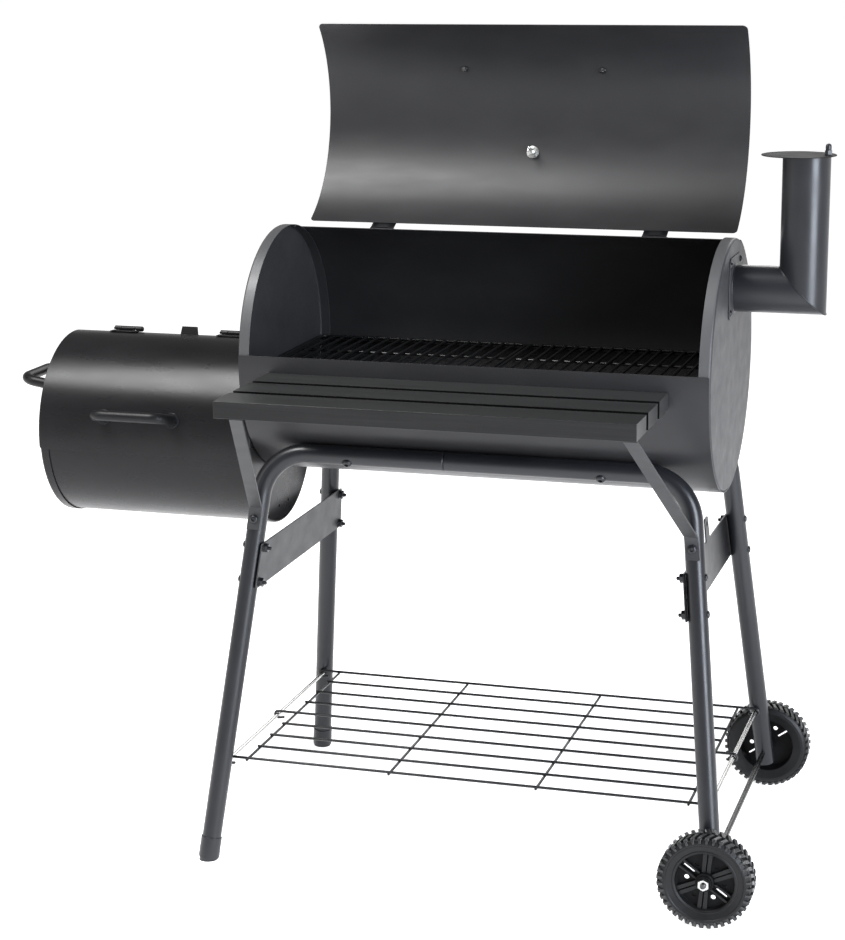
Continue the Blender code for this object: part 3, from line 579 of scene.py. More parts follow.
# ------------------------------------------------------------------ fasteners
def hex_nut(radius, bore, height, matrix):
    """A nut with chamfered corners and a bore, its foot at Z = 0."""
    flat = radius * cos(pi / 6)
    steps = 48
    bm = bmesh.new()
    rings = ([], [], [], [], [])
    for turn in (2 * pi * k / steps for k in range(steps)):
        corner = flat / cos((turn + pi / 6) % (pi / 3) - pi / 6)
        drop = (corner - flat) * 0.6
        rows = ((bore, 0), (corner, 0), (corner, height - drop), (flat * 0.97, height), (bore, height))
        for ring, (reach, z) in zip(rings, rows):
            ring.append(bm.verts.new((reach * cos(turn), reach * sin(turn), z)))
    for first, second in zip(rings, rings[1:] + rings[:1]):
        band(bm, first, second)
    return finish(bm, matrix)


def washer(radius, bore, height, matrix):
    edge = height * 0.3
    return lathe(fillet([(bore, 0), (radius, 0, edge), (radius, height, edge), (bore, height)], 3, True), 40,
                 matrix, True)


def pan_head(radius, height, matrix, recess=0.42):
    """A domed screw head with a round recess, its foot at Z = 0."""
    shares = ((0, 0), (1, 0), (1, 0.22), (0.94, 0.55), (0.78, 0.84), (0.55, 0.98), (recess, 1),
              (recess * 0.93, 0.93), (recess * 0.86, 0.45), (0, 0.4))
    return lathe([(radius * across, height * up) for across, up in shares], 32, matrix)


def thread(radius, length, matrix):
    """A screw's threaded end from Z = 0 up."""
    profile = [(0, 0), (radius, 0)]
    pitch = 0.0011
    turns = max(2, int(length / pitch))
    for k in range(turns):
        low = length * k / turns
        profile += [(radius, low + pitch * 0.3), (radius * 0.87, low + pitch * 0.6)]
    profile += [(radius * 0.85, length), (radius * 0.5, length + radius * 0.25), (0, length + radius * 0.25)]
    return lathe(profile, 24, matrix)


def rivet(radius, height, matrix):
    shares = ((0, 0), (1, 0), (0.97, 0.35), (0.8, 0.75), (0.45, 0.97), (0, 1))
    return lathe([(radius * across, height * up) for across, up in shares], 20, matrix)


# ------------------------------------------------------------------ drums
def rolled(name, x_ends, radius, span, corners, nodes, look, steps, edge=0.0004, body="stand"):
    """Rolled sheet with rounded corners; corners are the radii at its first and last edge."""
    start = radians(span[0])
    length = (radians(span[1]) - start) * radius
    cuts = set()
    for step in range(7):
        turn = radians(90) * step / 6
        cuts.add(round(corners[0] * (1 - cos(turn)), 7))
        cuts.add(round(length - corners[1] * (1 - cos(turn)), 7))
    inner = length - sum(corners)
    cuts |= {round(corners[0] + inner * k / steps, 7) for k in range(steps + 1)}
    low, high = x_ends
    columns = 20
    bm = bmesh.new()
    rows = []
    for way in sorted(cuts):
        inset = 0.0
        for size, away in ((corners[0], way), (corners[1], length - way)):
            if away < size:
                inset = size - sqrt(max(0.0, size * size - (size - away) ** 2))
        left, right = low + inset, high - inset
        places = [left + (right - left) * k / columns for k in range(columns + 1)]
        rows.append([bm.verts.new(around(start + way / radius, radius, 0.0, x)) for x in places])
    for first, second in zip(rows, rows[1:]):
        for k in range(columns):
            bm.faces.new((first[k], first[k + 1], second[k + 1], second[k]))
    bm.normal_update()
    bm.faces.ensure_lookup_table()
    centre = bm.faces[0].calc_center_median()
    if bm.faces[0].normal.dot(Vector((0, centre.y, centre.z))) < 0:
        bmesh.ops.reverse_faces(bm, faces=bm.faces)
    centre_z = BARREL_Z if "barrel" in name else FIREBOX_Z
    obj = mesh_piece(name, bm, "black_sheet", nodes, look, shift((0, 0, centre_z)), body=body)
    thicken(obj, SHEET, edge)


def cap_mesh(radius, depth, x, side, centre_z):
    """A pressed pan whose flat face looks to the side given, with a flange all round."""
    inner = radius - SHEET
    profile = [(0, 0), (radius * 0.5, 0), (radius, 0, 0.004), (radius, -depth, 0.0004),
               (inner, -depth, 0.0004), (inner, -SHEET, 0.0028), (radius * 0.5, -SHEET), (0, -SHEET)]
    turn = shift((x, 0, centre_z)) @ Matrix.Rotation(side * pi / 2, 4, "Y")
    return lathe(fillet(profile, 6), 120, turn)


def bar_cutter(radius, place, steps=32):
    """A round tool along X."""
    return disc(radius, -0.01, 0.01, steps, shift(place) @ ALONG_X)


def box_mesh(size, place):
    bm = bmesh.new()
    bmesh.ops.create_cube(bm, size=1.0, matrix=shift(place) @ Matrix.Diagonal((*size, 1)))
    return bm


def make_barrel():
    inset = 0.0015
    # the barrel shell takes the lightened enamel, painted light
    rolled("barrel_shell_sheet", (-BARREL_HALF + inset, BARREL_HALF - inset), BARREL_R, SHELL_SPAN,
           (0.002, 0.002), ["barrel_shell"], "shell_sheet", 120)
    radius = BARREL_R - SHEET - 2 * GAP
    depth = cap_high.x - cap_low.x
    hole = bar_cutter(CHIMNEY_R - 0.002, (BARREL_HALF, 0, CHIMNEY_Z), 48)
    ends = []
    for side, name, tool in ((-1, "left", box_mesh(*PORT)), (1, "right", hole)):
        pan = carve(cap_mesh(radius, depth, side * BARREL_HALF, side, BARREL_Z), [tool])
        # the end pans take the lighter enamel, a painted reflection of the right-hand lamp
        ends.append(mesh_piece("barrel_end_" + name, pan, "black_sheet", ["barrel_cap_" + name],
                               "cap_sheet", crease=50))
    middle = BASE + Vector((0, 0, BARREL_Z))
    for piece in ends:
        # the outward-facing flange faces get the painted highlight
        second_look(piece, "flange_sheet", lambda face: abs(face.normal.x) < 0.6
                    and (face.center - middle).yz.dot(face.normal.yz) > 0)
    tails = []
    for side in (-1, 1):
        for k in range(6):
            angle = radians(14 + 18.3 * k)
            inner = around(angle, radius - SHEET + 0.0001, BARREL_Z, side * (BARREL_HALF - 0.0085))
            tails.append(rivet(0.0022, 0.001, frame_at(inner, (0, cos(angle), -sin(angle)))))
    mesh_piece("barrel_rivet_tails", merge(*tails), "zinc", look="zinc")


def make_grate(name, node, wire, cross_places, columns):
    """Round bars along Y inside a rim wire, laid on cross wires."""
    low, high = node_box(node)
    level = high.z - wire
    rim = rectangle((low.x + wire, high.x - wire), (low.y + wire, high.y - wire), 0.009, 6)
    rod(name + "_rim", [[Vector((x, y, level)) for x, y in rim]], wire, nodes=[node], cyclic=True)
    pitch = (high.x - low.x - 2 * wire) / columns
    bars = []
    for k in range(1, columns):
        x = low.x + wire + pitch * k
        bars.append([(x, low.y + wire, level), (x, high.y - wire, level)])
    rod(name + "_bars", bars, wire * 0.94)
    below = level - wire * 1.75
    cross = [[(low.x + 0.004, y, below), (high.x - 0.004, y, below)] for y in cross_places]
    rod(name + "_cross", cross, wire * 0.9)


def lid_bow(name, stem, node, body, half, place, screw_look, sink):
    """A bow handle on a lid, with a collar outside the sheet and a nut inside it at each foot."""
    angle, drum_r, centre_z, x = place
    at = drum_frame(angle, drum_r + 0.0006, centre_z, x)
    reach, bend = 0.045, 0.018
    feet = [(-half, 0, 0), (-half, 0, reach), (half, 0, reach), (half, 0, 0)]
    rod(name, [bend_path(feet, bend)], HANDLE_R, "black_tube", [node], "grip", 28, False, matrix=at,
        body=body)
    rings, nuts = [], []
    for side in (-1, 1):
        rings.append(washer(COLLAR_R, HANDLE_R, 0.0013, at @ shift((side * half, 0, -sink))))
        under = around(angle, drum_r - SHEET, centre_z, x + side * half)
        inner = frame_at(under, (0, cos(angle), -sin(angle)))
        nuts += [hex_nut(0.0052, 0.0022, 0.0034, inner), thread(0.0021, 0.0062, inner)]
    mesh_piece(stem + "_collars", merge(*rings), "black_tube", body=body)
    mesh_piece(stem + "_screws", merge(*nuts), "zinc", look=screw_look, body=body)


def make_barrel_lid():
    # the lid sheet takes the lightened enamel, painted light
    rolled("barrel_lid_sheet", (-0.325, 0.325), LID_R, LID_SPAN, (0.008, 0.007), ["barrel_lid"],
           "inside", 96, 0.00045, body="barrel_lid")
    lid_bow("barrel_lid_handle", "lid_handle", "lid_handle", "barrel_lid", 0.106,
            (radians(30.1), LID_R, BARREL_Z, 0.0), "axle_steel", 0.0003)


def make_thermometer():
    at = drum_frame(radians(69.7), LID_R, BARREL_Z)
    bezel = fillet(mm((4, 0.6), (22.5, 0.6, 1.2), (23.8, 8.5, 1), (24.5, 9.5, 0.6), (24.5, 12.8, 1.2),
                      (21.2, 13.5, 0.6), (20.2, 11.2, 0.4), (0, 11)), 4)
    mesh_piece("thermometer_case", lathe([(0.0, 0.0006)] + bezel, 72), "dial_steel",
               ["thermometer"], matrix=at, body="barrel_lid")
    mesh_piece("thermometer_face", disc(0.0203, 0.0111, 0.0116, 64), "dial_steel",
               look="dial_face", matrix=at, body="barrel_lid")
    ticks = []
    for k in range(31):
        turn = radians(225 - 9 * k)
        length = 0.0034 if k % 5 == 0 else 0.0019
        spot = at @ about_z(turn) @ shift((0.0188 - length / 2, 0, 0.01175))
        outline = rectangle((-length / 2, length / 2), (-0.0003, 0.0003), 0.0002, 2)
        ticks.append(prism(outline, -0.0002, 0.0002, spot))
    mesh_piece("thermometer_scale", merge(*ticks), "dial_steel", look="dial_mark", body="barrel_lid")
    needle = mm((-5, -1), (6, -0.7), (15.5, 0), (6, 0.7), (-5, 1))
    spot = at @ about_z(radians(222))
    hub = rivet(0.0018, 0.0009, at @ shift((0, 0, 0.0124)))
    hand = merge(prism(needle, 0.0122, 0.0127, spot), hub)
    mesh_piece("thermometer_needle", hand, "dial_steel", look="needle", body="barrel_lid")
    inner = at @ shift((0, 0, -SHEET - 0.0004)) @ Matrix.Rotation(pi, 4, "X")
    nut = merge(washer(0.0094, 0.0041, 0.001, inner),
                hex_nut(0.0085, 0.0041, 0.005, inner @ shift((0, 0, 0.001))),
                thread(0.004, 0.01, inner))
    mesh_piece("thermometer_lock_nut", nut, "zinc", ["thermometer_nut"], body="barrel_lid")
    probe = fillet([(0, 0.009), (0.0022, 0.009), (0.0022, 0.028, 0.0015), (0, 0.029)], 4)
    mesh_piece("thermometer_probe", lathe(probe, 28, inner), "dial_steel", body="barrel_lid")


# ------------------------------------------------------------------ firebox
def make_firebox():
    inner_ends = (FIREBOX_ENDS[0] + 0.0043, FIREBOX_ENDS[1] - 0.0043)
    rolled("firebox_shell_sheet", inner_ends, FIREBOX_SHELL_R, FIREBOX_SHELL_SPAN, (0.002, 0.002),
           ["firebox_shell"], "fire_sheet", 110)
    depth = fire_high.x - fire_low.x
    holes = [bar_cutter(0.0031, VENT_AXIS, steps=24)]
    holes += [bar_cutter(VENT_HOLE_R, VENT_AXIS + Vector((0, y, z))) for y, z in VENT_HOLES]
    left = carve(cap_mesh(FIREBOX_R, depth, FIREBOX_ENDS[0], -1, FIREBOX_Z), holes)
    tools = [box_mesh(*PORT)]
    tools += [bar_cutter(0.0025, (FIREBOX_ENDS[1], y, 0.48), steps=20) for y in (-0.02, 0.02)]
    right = carve(cap_mesh(FIREBOX_R, depth, FIREBOX_ENDS[1], 1, FIREBOX_Z), tools)
    for name, pan in (("left", left), ("right", right)):
        mesh_piece("firebox_end_" + name, pan, "black_sheet", ["firebox_cap_" + name], "fire_sheet",
                   crease=50)
    make_side_handle()
    make_vent()


def make_side_handle():
    half, foot, reach, rise, z = 0.053, 0.0015, 0.065, 0.01, 0.652
    feet = [(-foot, -half, 0), (-reach, -half, rise), (-reach, half, rise), (-foot, half, 0)]
    rod("firebox_carry_handle", [bend_path(feet, 0.022)], HANDLE_R, "black_tube",
        ["firebox_side_handle"], "grip", 28, False, matrix=shift((FIREBOX_ENDS[0], 0, z)))
    rings = [washer(COLLAR_R, HANDLE_R, 0.0014, frame_at((FIREBOX_ENDS[0], y, z), (-1, 0, 0), (0, 1, 0)))
             for y in (-half, half)]
    mesh_piece("carry_handle_collars", merge(*rings))


def make_vent():
    outward = shift(VENT_AXIS) @ Matrix.Rotation(-pi / 2, 4, "Y")
    rim = [p for p in circle((0, 0), 0.042, 96) if p[0] > -0.0405]
    rim.sort(key=lambda p: atan2(p[1], p[0]))
    tab = fillet(mm((-41.2, 8), (-54, 6.2, 3), (-54, -6.2, 3), (-41.2, -8)), 5)
    holes = [circle((z, y), VENT_HOLE_R, 40) for y, z in VENT_HOLES]
    lift = GAP + SHEET / 2
    plate("air_vent_plate", [rim + tab, *holes, circle((0, 0), 0.0026, 20)], SHEET,
          outward @ shift((0, 0, lift)), ["air_vent_disc"], body="air_vent")
    head = lift + SHEET / 2 + GAP
    shank = [(0, head), (0.0024, head), (0.0024, -0.007), (0.0018, -0.0078), (0, -0.0078)]
    bolt = merge(pan_head(0.0054, 0.0036, outward @ shift((0, 0, head)), 0.45), lathe(shank, 24, outward))
    mesh_piece("air_vent_bolt", bolt, "zinc", ["air_vent_pivot"])


def make_firebox_lid():
    ends = (FIREBOX_ENDS[0] + 0.0005, FIREBOX_ENDS[1] - 0.0012)
    rolled("firebox_lid_sheet", ends, FIREBOX_LID_R, FIREBOX_LID_SPAN, (0.004, 0.004),
           ["firebox_lid"], "fire_sheet", 80, 0.00045, body="firebox_lid")
    lid_bow("firebox_lid_grip", "lid_grip", "firebox_lid_handle", "firebox_lid", 0.0545,
            (radians(15), FIREBOX_LID_R, FIREBOX_Z, -0.5165), None, 0.0004)
    outline = fillet(mm((-14.5, 0), (14.5, 0), (12.5, 12.4, 1), (-12.5, 12.4, 1)), 4, True)
    angle = radians(92.5)
    tangent = Matrix(((1, 0, 0), (0, sin(angle), -cos(angle)), (0, cos(angle), sin(angle)))).to_4x4()
    tangent.translation = around(angle, FIREBOX_LID_R + 0.0002, FIREBOX_Z, -0.4885)
    plate("firebox_lid_stop", [outline], 0.0015,
          tangent @ Matrix.Rotation(radians(78), 4, "X"), ["firebox_lid_tab"], body="firebox_lid")


# ------------------------------------------------------------------ hinges
def leaf_section(angle, sign, plate_r, centre_z, axis, depth, shoulder):
    """The cross-section of a leaf in (y, z): a bent plate that curls around the pin."""
    thick, curl = 0.0014, 0.0034
    start = angle + sign * (shoulder + depth) / plate_r
    stop = angle + sign * shoulder / plate_r
    line = []
    for k in range(9):
        turn = start + (stop - start) * k / 8
        spot = around(turn, plate_r, centre_z)
        line.append(Vector((spot.y, spot.z)))
    flat = len(line)
    centre = Vector((axis.y, axis.z))
    heading = (line[-1] - line[-2]).normalized()
    away = Vector((-cos(angle), sin(angle)))
    spin = 1 if heading.cross(away) > 0 else -1
    first = -away
    for k in range(15):
        turn = spin * radians(300) * k / 14
        line.append(centre + curl * Vector((first.x * cos(turn) - first.y * sin(turn),
                                            first.x * sin(turn) + first.y * cos(turn))))
    sides = ([], [])
    for k, spot in enumerate(line):
        ahead = (line[min(k + 1, len(line) - 1)] - line[max(k - 1, 0)]).normalized()
        normal = Vector((-ahead.y, ahead.x))
        sides[0].append(spot + normal * thick / 2)
        sides[1].append(spot - normal * thick / 2)
    return sides, flat


def leaf_mesh(sides, count, low, high):
    """The section's first points, as wide as from low to high along X."""
    bm = bmesh.new()
    outline = sides[0][:count] + sides[1][:count][::-1]
    ends = [[bm.verts.new((x, spot.x, spot.y)) for spot in outline] for x in (low, high)]
    band(bm, *ends)
    for end in ends:
        for k in range(count - 1):
            bm.faces.new((end[k], end[k + 1], end[-2 - k], end[-1 - k]))
    return finish(bm)


def make_hinge(prefix, suffix, x, width, centre_z, axis, base_r, leaf_r, lid_body):
    """A butt hinge on a drum, its leaves curled around a headed pin."""
    rise = Vector((axis.y, axis.z - centre_z))
    angle = atan2(rise.y, -rise.x)
    middle = width / 4
    spans = {"base": [(-middle + GAP, middle - GAP)], "leaf": [(-width / 2, -middle), (middle, width / 2)]}
    for kind, drum_r, body, sign in (("base", base_r, "stand", 1), ("leaf", leaf_r, lid_body, -1)):
        plate_r = drum_r + 0.0006 + 0.0007
        sides, flat = leaf_section(angle, sign, plate_r, centre_z, axis, 0.0165, 0.0045)
        parts = [leaf_mesh(sides, flat, x - width / 2, x + width / 2)]
        for low, high in spans[kind]:
            parts.append(leaf_mesh(sides, len(sides[0]), x + low, x + high))
        mesh_piece(f"{prefix}_{kind}_{suffix}", merge(*parts), "black_tube",
                   [f"{prefix}_hinge_{kind}_{suffix}"], "grip", crease=45, bevel=0.0002, body=body)
        heads = []
        for across in (-0.3, 0.3):
            at = drum_frame(angle + sign * 0.0135 / plate_r, plate_r + 0.0005, centre_z, x + width * across)
            heads.append(rivet(0.003, 0.0014, at))
        mesh_piece(f"{prefix}_{kind}_rivets_{suffix}", merge(*heads), "black_tube", look="grip", body=body)
    head = width / 2 + GAP
    profile = fillet([(0, head + 0.0015), (0.003, head + 0.0014, 0.0006), (0.0032, head), (0.0019, head),
                      (0.0019, -width / 2 - 0.0019, 0.0006), (0, -width / 2 - 0.002)], 3)
    mesh_piece(f"{prefix}_pin_{suffix}", lathe(profile, 28), "zinc", [f"{prefix}_hinge_pin_{suffix}"],
               "grip", shift((x, axis.y, axis.z)) @ ALONG_X)


# ------------------------------------------------------------------ chimney
def mitred_pipe(outer, inner, length, mitre):
    """An open pipe along its Z; mitre slopes its lower end."""
    lip = 0.0003
    profile = fillet([(inner, 0), (outer, 0), (outer, length, lip), (inner, length, lip)], 3, True)
    bm = lathe(profile, 72, closed=True)
    for vert in bm.verts:
        if vert.co.z < length / 4:
            vert.co.z += mitre * vert.co.x
    return bm


def make_chimney():
    elbow = Vector((0.435, 0, CHIMNEY_Z))
    inner = CHIMNEY_R - SHEET
    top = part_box("chimney_stack")[1].z
    run = elbow.x - BARREL_HALF - GAP
    mesh_piece("chimney_elbow", mitred_pipe(CHIMNEY_R, inner, run, 1.0), "black_tube",
               ["chimney_elbow_pipe"], matrix=shift(elbow) @ Matrix.Rotation(-pi / 2, 4, "Y"))
    lift = 0.0005
    mesh_piece("chimney_upright", mitred_pipe(CHIMNEY_R, inner, top - CHIMNEY_Z - lift, -1.0),
               "black_tube", ["chimney_stack"], matrix=shift(elbow + Vector((0, 0, lift))))
    bead = [elbow + Vector((x, y, -x)) for x, y in circle((0, 0), CHIMNEY_R - 0.0002, 96)]
    rod("chimney_weld", [bead], 0.001, "black_tube", sides=12, cyclic=True)
    outline = rectangle((-0.043, 0.043), (-0.048, 0.048), 0.012, 8)
    at = shift((BARREL_HALF + GAP + 0.00075, 0, CHIMNEY_Z + 0.003)) @ ALONG_X
    # the collar plate takes the lighter enamel, a painted reflection of the right-hand lamp
    plate("chimney_collar_plate", [outline, circle((0.003, 0), CHIMNEY_R + 0.0006, 64)], 0.0015, at,
          ["chimney_flange"], "cap_sheet", 0.0003)
    screws = [pan_head(0.0048, 0.0026, at @ shift((up, across, 0.00075)))
              for up in (-0.0335, 0.0335) for across in (-0.0385, 0.0385)]
    mesh_piece("chimney_flange_screws", merge(*screws), "black_sheet", look="black_tube")
    ring = [Vector((BARREL_HALF + 0.0022, y, z)) for y, z in circle((0, CHIMNEY_Z), CHIMNEY_R + 0.0003, 72)]
    rod("chimney_flange_weld", [ring], 0.0011, "black_tube", sides=12, cyclic=True)
    make_damper()


def make_damper():
    disc_low, disc_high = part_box("damper_disc")
    radius = (disc_high.y - disc_low.y) / 2
    across = disc_low.x + radius - BASE.x - DAMPER_AXIS.x
    lift = GAP + SHEET / 2
    plate("damper_flap", [circle((across, 0), radius, 96), circle((0, 0), 0.0024, 20)], SHEET,
          shift(DAMPER_AXIS + Vector((0, 0, lift))), ["damper_disc"], "damper_sheet", 0.0003, "damper")
    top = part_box("damper_pivot")[1].z - DAMPER_AXIS.z
    above = 2 * GAP + SHEET
    at = shift(DAMPER_AXIS)
    dome = [(0, above + 0.005), (0.004, above + 0.0062), (0.0042, top - 0.005), (0.0038, top - 0.0022),
            (0.0024, top - 0.0006), (0, top)]
    nut = merge(hex_nut(0.0054, 0.0023, 0.0062, at @ shift((0, 0, above))),
                lathe(dome, 28, at),
                lathe([(0, -0.022), (0.0022, -0.0215), (0.0023, above + 0.001), (0, above + 0.001)], 24, at))
    foot = prism(rectangle((-0.002, 0.002), (-0.003, 0.003), 0.0006, 3), -0.0225, -0.0045, at)
    mesh_piece("damper_stud", merge(nut, foot), "black_tube", ["damper_pivot"])


# ------------------------------------------------------------------ shelf
def make_shelf():
    for name in ("front", "middle", "rear"):
        low, high = node_box("shelf_slat_" + name)
        slat = box_mesh(high - low, (low + high) / 2)
        bmesh.ops.bevel(slat, geom=slat.edges[:], offset=0.0007 if name == "front" else 0.0004, segments=4,
                        profile=0.5, affect="EDGES")
        piece = mesh_piece("shelf_board_" + name, slat, "black_board", ["shelf_slat_" + name],
                           crease=60)
        # front faces get darker board copies: painted shade on the front slat, painted shadow in the gaps on
        # the others
        second_look(piece, "board_front" if name == "front" else "board_side",
                    lambda face: face.normal.y < -0.3)
    for side, name in ((-1, "left"), (1, "right")):
        make_support(side, name)


def leg_point(side_x, side_y, z):
    """A point on a leg's centre line at a height."""
    share = 1 - z / BAR_Z
    return Vector((side_x * (CORNER_X + (FOOT_X - CORNER_X) * share),
                   side_y * (BAR_Y + (FOOT_Y - BAR_Y) * share), z))


def make_support(side, name):
    """A bent flat bar from the leg to the shelf's edge and back under the slats, with its bolts."""
    slat_low = node_box("shelf_slat_front")[0]
    under = slat_low.z - GAP - 0.0015
    top_x = side * 0.2695
    low, high = (leg_point(side, -1, z) + Vector((0, -TUBE_R - 0.0022, 0)) for z in (0.484, 0.514))
    front = Vector((top_x, slat_low.y + 0.024, under - 0.003))
    path = [low, high, front, front + Vector((0, 0.003, 0.003)), Vector((top_x, -0.188, under))]
    smooth = [path[0], path[0].lerp(path[1], 0.7), path[1].lerp(path[2], 0.02), *(
        path[2].lerp(path[3], k / 3) for k in range(4)), path[4]]
    bm = bmesh.new()
    half, thick = 0.0095, 0.0030
    rows = []
    for k, spot in enumerate(smooth):
        ahead = (smooth[min(k + 1, len(smooth) - 1)] - smooth[max(k - 1, 0)])
        normal = Vector((1, 0, 0)).cross(ahead).normalized() * thick / 2
        rows.append([bm.verts.new(spot + Vector((across * half, 0, 0)) + normal * lift)
                     for across, lift in ((-1, -1), (1, -1), (1, 1), (-1, 1))])
    for first, second in zip(rows, rows[1:]):
        band(bm, first, second)
    bm.faces.new(rows[0])
    bm.faces.new(rows[-1])
    # the bracket takes the lighter enamel, painted light on its lit faces
    mesh_piece("shelf_bracket_" + name, finish(bm), "black_sheet", ["shelf_support_" + name],
               "cap_sheet", crease=30, bevel=0.0007)
    bolts = [pan_head(0.0065, 0.004, frame_at(low.lerp(high, 0.5) + Vector((0, -0.0015, 0)), (0, -1, 0)))]
    for row in ("front", "middle", "rear"):
        box_low, box_high = node_box("shelf_slat_" + row)
        spot = Vector((top_x, (box_low.y + box_high.y) / 2, under - 0.0015))
        bolts.append(pan_head(0.0045, 0.0026, frame_at(spot, (0, 0, -1))))
    mesh_piece("shelf_bolts_" + name, merge(*bolts), "black_sheet", look="black_tube")


# ------------------------------------------------------------------ stand
def tube_mesh(path):
    """A leg's tube, without its wall, along a path whose points carry their share of the radius."""
    curve = round_curve("tube", TUBE_R, 36)
    trace(curve, path)
    return finish(curve_mesh(curve))


def make_frames():
    for side_y, row in ((-1, "front"), (1, "rear")):
        for side_x, name in ((-1, "left"), (1, "right")):
            foot_z = 0.01 if side_x < 0 else 0.048
            seam = Vector((FRAME_SEAM_X + (GAP if side_x > 0 else -0.002), side_y * BAR_Y, BAR_Z))
            corners = [seam, leg_point(side_x, side_y, BAR_Z), leg_point(side_x, side_y, foot_z)]
            path = [(*point, 1.0) for point in bend_path(corners, 0.07, 18)]
            if side_x < 0:
                swaged = [(FRAME_SEAM_X + reach, side_y * BAR_Y, BAR_Z, 0.87) for reach in (0.035, 0.0)]
                path = swaged + path
            obj = mesh_piece(f"frame_tube_{row}_{name}", tube_mesh(path), "black_tube",
                             [f"frame_{row}_{name}"], crease=50)
            thicken(obj, TUBE_WALL, 0.0002)
    screws = []
    for side_y in (-1, 1):
        for x in (-0.185, 0.185):
            out = Vector((0, side_y * sin(BAR_ANGLE), -cos(BAR_ANGLE)))
            spot = Vector((x, side_y * BAR_Y, BAR_Z)) + out * (TUBE_R - 0.0009)
            screws.append(pan_head(0.0072, 0.0046, frame_at(spot, out)))
    mesh_piece("frame_bar_screws", merge(*screws))


def make_foot_caps():
    wall_in, wall_out, mouth = TUBE_R + GAP, TUBE_R + 0.0012, 0.034
    cup = [(0, 0.0097), (wall_in, 0.0097), (wall_in, mouth, 0.0002), (wall_out, mouth, 0.0004),
           (wall_out, 0.0045), (wall_out - 0.0016, 0.0012), (wall_out - 0.0016, -0.012), (0, -0.012)]
    for side_y, name in ((-1, "front"), (1, "rear")):
        foot = leg_point(-1, side_y, 0)
        bm = lathe(fillet(cup, 3), 56, frame_at(foot, leg_point(-1, side_y, 0.2) - foot))
        cut = bmesh.ops.bisect_plane(bm, geom=bm.verts[:] + bm.edges[:] + bm.faces[:], plane_co=(0, 0, 0),
                                     plane_no=(0, 0, 1), clear_inner=True)
        rim = [item for item in cut["geom_cut"] if isinstance(item, bmesh.types.BMEdge)]
        bmesh.ops.contextual_create(bm, geom=rim)
        bmesh.ops.recalc_face_normals(bm, faces=bm.faces)
        mesh_piece("foot_cup_" + name, bm, "black_plastic", ["foot_cap_" + name], "black_tube")


def make_side_plates():
    lean = Vector((FOOT_X - CORNER_X, 0, BAR_Z)).normalized()
    thick, half = 0.002, 0.033
    for side, name in ((-1, "left"), (1, "right")):
        slope = Vector((-side * lean.x, 0, lean.z))
        out = Vector((0, 1, 0)).cross(slope)
        at = Matrix((Vector((0, 1, 0)), slope, out)).transposed().to_4x4()
        inward = Vector((-side * out.x, 0, -side * out.z)).normalized()
        centre = Vector((side * leg_point(1, 1, PLATE_Z).x, 0, PLATE_Z))
        at.translation = centre + inward * (TUBE_R + GAP + thick / 2)
        ends = [leg_point(1, 1, PLATE_Z + rise).y + 0.012 for rise in (-half, half)]
        outline = [(-ends[0], -half, 0.004), (ends[0], -half, 0.004), (ends[1], half, 0.004)]
        if side > 0:
            outline += [(0.0275, half, 0.002), (0.0255, 0.066, 0.004), (0.0015, 0.066, 0.004),
                        (-0.0005, half, 0.002)]
        outline.append((-ends[1], half, 0.004))
        outlines = [fillet(outline, 5, True)]
        if side > 0:
            outlines.append(circle((0.0135, 0.0565), 0.004, 28))
        # the left panel takes the lighter enamel, a painted reflection of the right-hand lamp on its inner
        # face; the right panel keeps the plain black
        plate("side_panel_" + name, outlines, thick, at, ["side_plate_" + name],
              "cap_sheet" if side < 0 else "black_sheet", 0.0004)
        heads, nuts = [], []
        for side_y in (-1, 1):
            for rise in (-0.025, 0.025):
                spot = leg_point(side, side_y, PLATE_Z + rise * lean.z)
                outer = frame_at(spot - inward * (TUBE_R - 0.0004), -inward, (0, 1, 0))
                heads.append(pan_head(0.0052, 0.0026, outer))
                inner = frame_at(spot + inward * (TUBE_R + GAP + thick), inward, (0, 1, 0))
                nuts += [washer(0.0072, 0.003, 0.0012, inner),
                         hex_nut(0.0068, 0.0028, 0.0052, inner @ shift((0, 0, 0.0012))),
                         thread(0.0028, 0.0105, inner)]
        mesh_piece("plate_bolt_heads_" + name, merge(*heads))
        mesh_piece("plate_bolt_nuts_" + name, merge(*nuts))


def plain_bar(radius, half):
    """A round bar along Z with softened ends."""
    edge = 0.0008
    return lathe(fillet([(0, -half), (radius, -half, edge), (radius, half, edge), (0, half)], 4), 36)


def make_rack():
    wire, bar, bar_x = 0.002, 0.003, 0.355
    low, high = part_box("rack_rod_left")
    level, half_bar = (low.z + high.z) / 2, (high.y - low.y) / 2
    rack_z = level + wire + bar + GAP
    half, cross_x = 0.212, 0.327
    hook = wire + bar + GAP
    wires = []
    for number in range(9):
        y = -half + number * half / 4
        if number in (0, 4, 8):
            turns = [pi * 1.5 - step * pi / 16 for step in range(17)]
            bend = [(0.0105, 0.0016 - hook)] + [(hook * cos(turn), hook * sin(turn)) for turn in turns]
            wires.append([(-bar_x + across, y, level + up) for across, up in bend]
                         + [(bar_x - across, y, level + up) for across, up in reversed(bend)])
        else:
            wires.append([(-cross_x - 0.003, y, rack_z), (cross_x + 0.003, y, rack_z)])
    rod("rack_long_wires", wires, wire, nodes=["wire_rack"], sides=16)
    cross_z = rack_z - 1.6 * wire
    cross = [[(x, -half - 0.002, cross_z), (x, half + 0.002, cross_z)]
             for x in (-cross_x, -cross_x / 3, cross_x / 3, cross_x)]
    rod("rack_cross_wires", cross, wire, sides=16)
    for side, name in ((-1, "left"), (1, "right")):
        mesh_piece("rack_bar_" + name, plain_bar(bar, half_bar), "zinc", ["rack_rod_" + name],
                   "dial_steel", shift((side * bar_x, 0, level)) @ ALONG_Y)


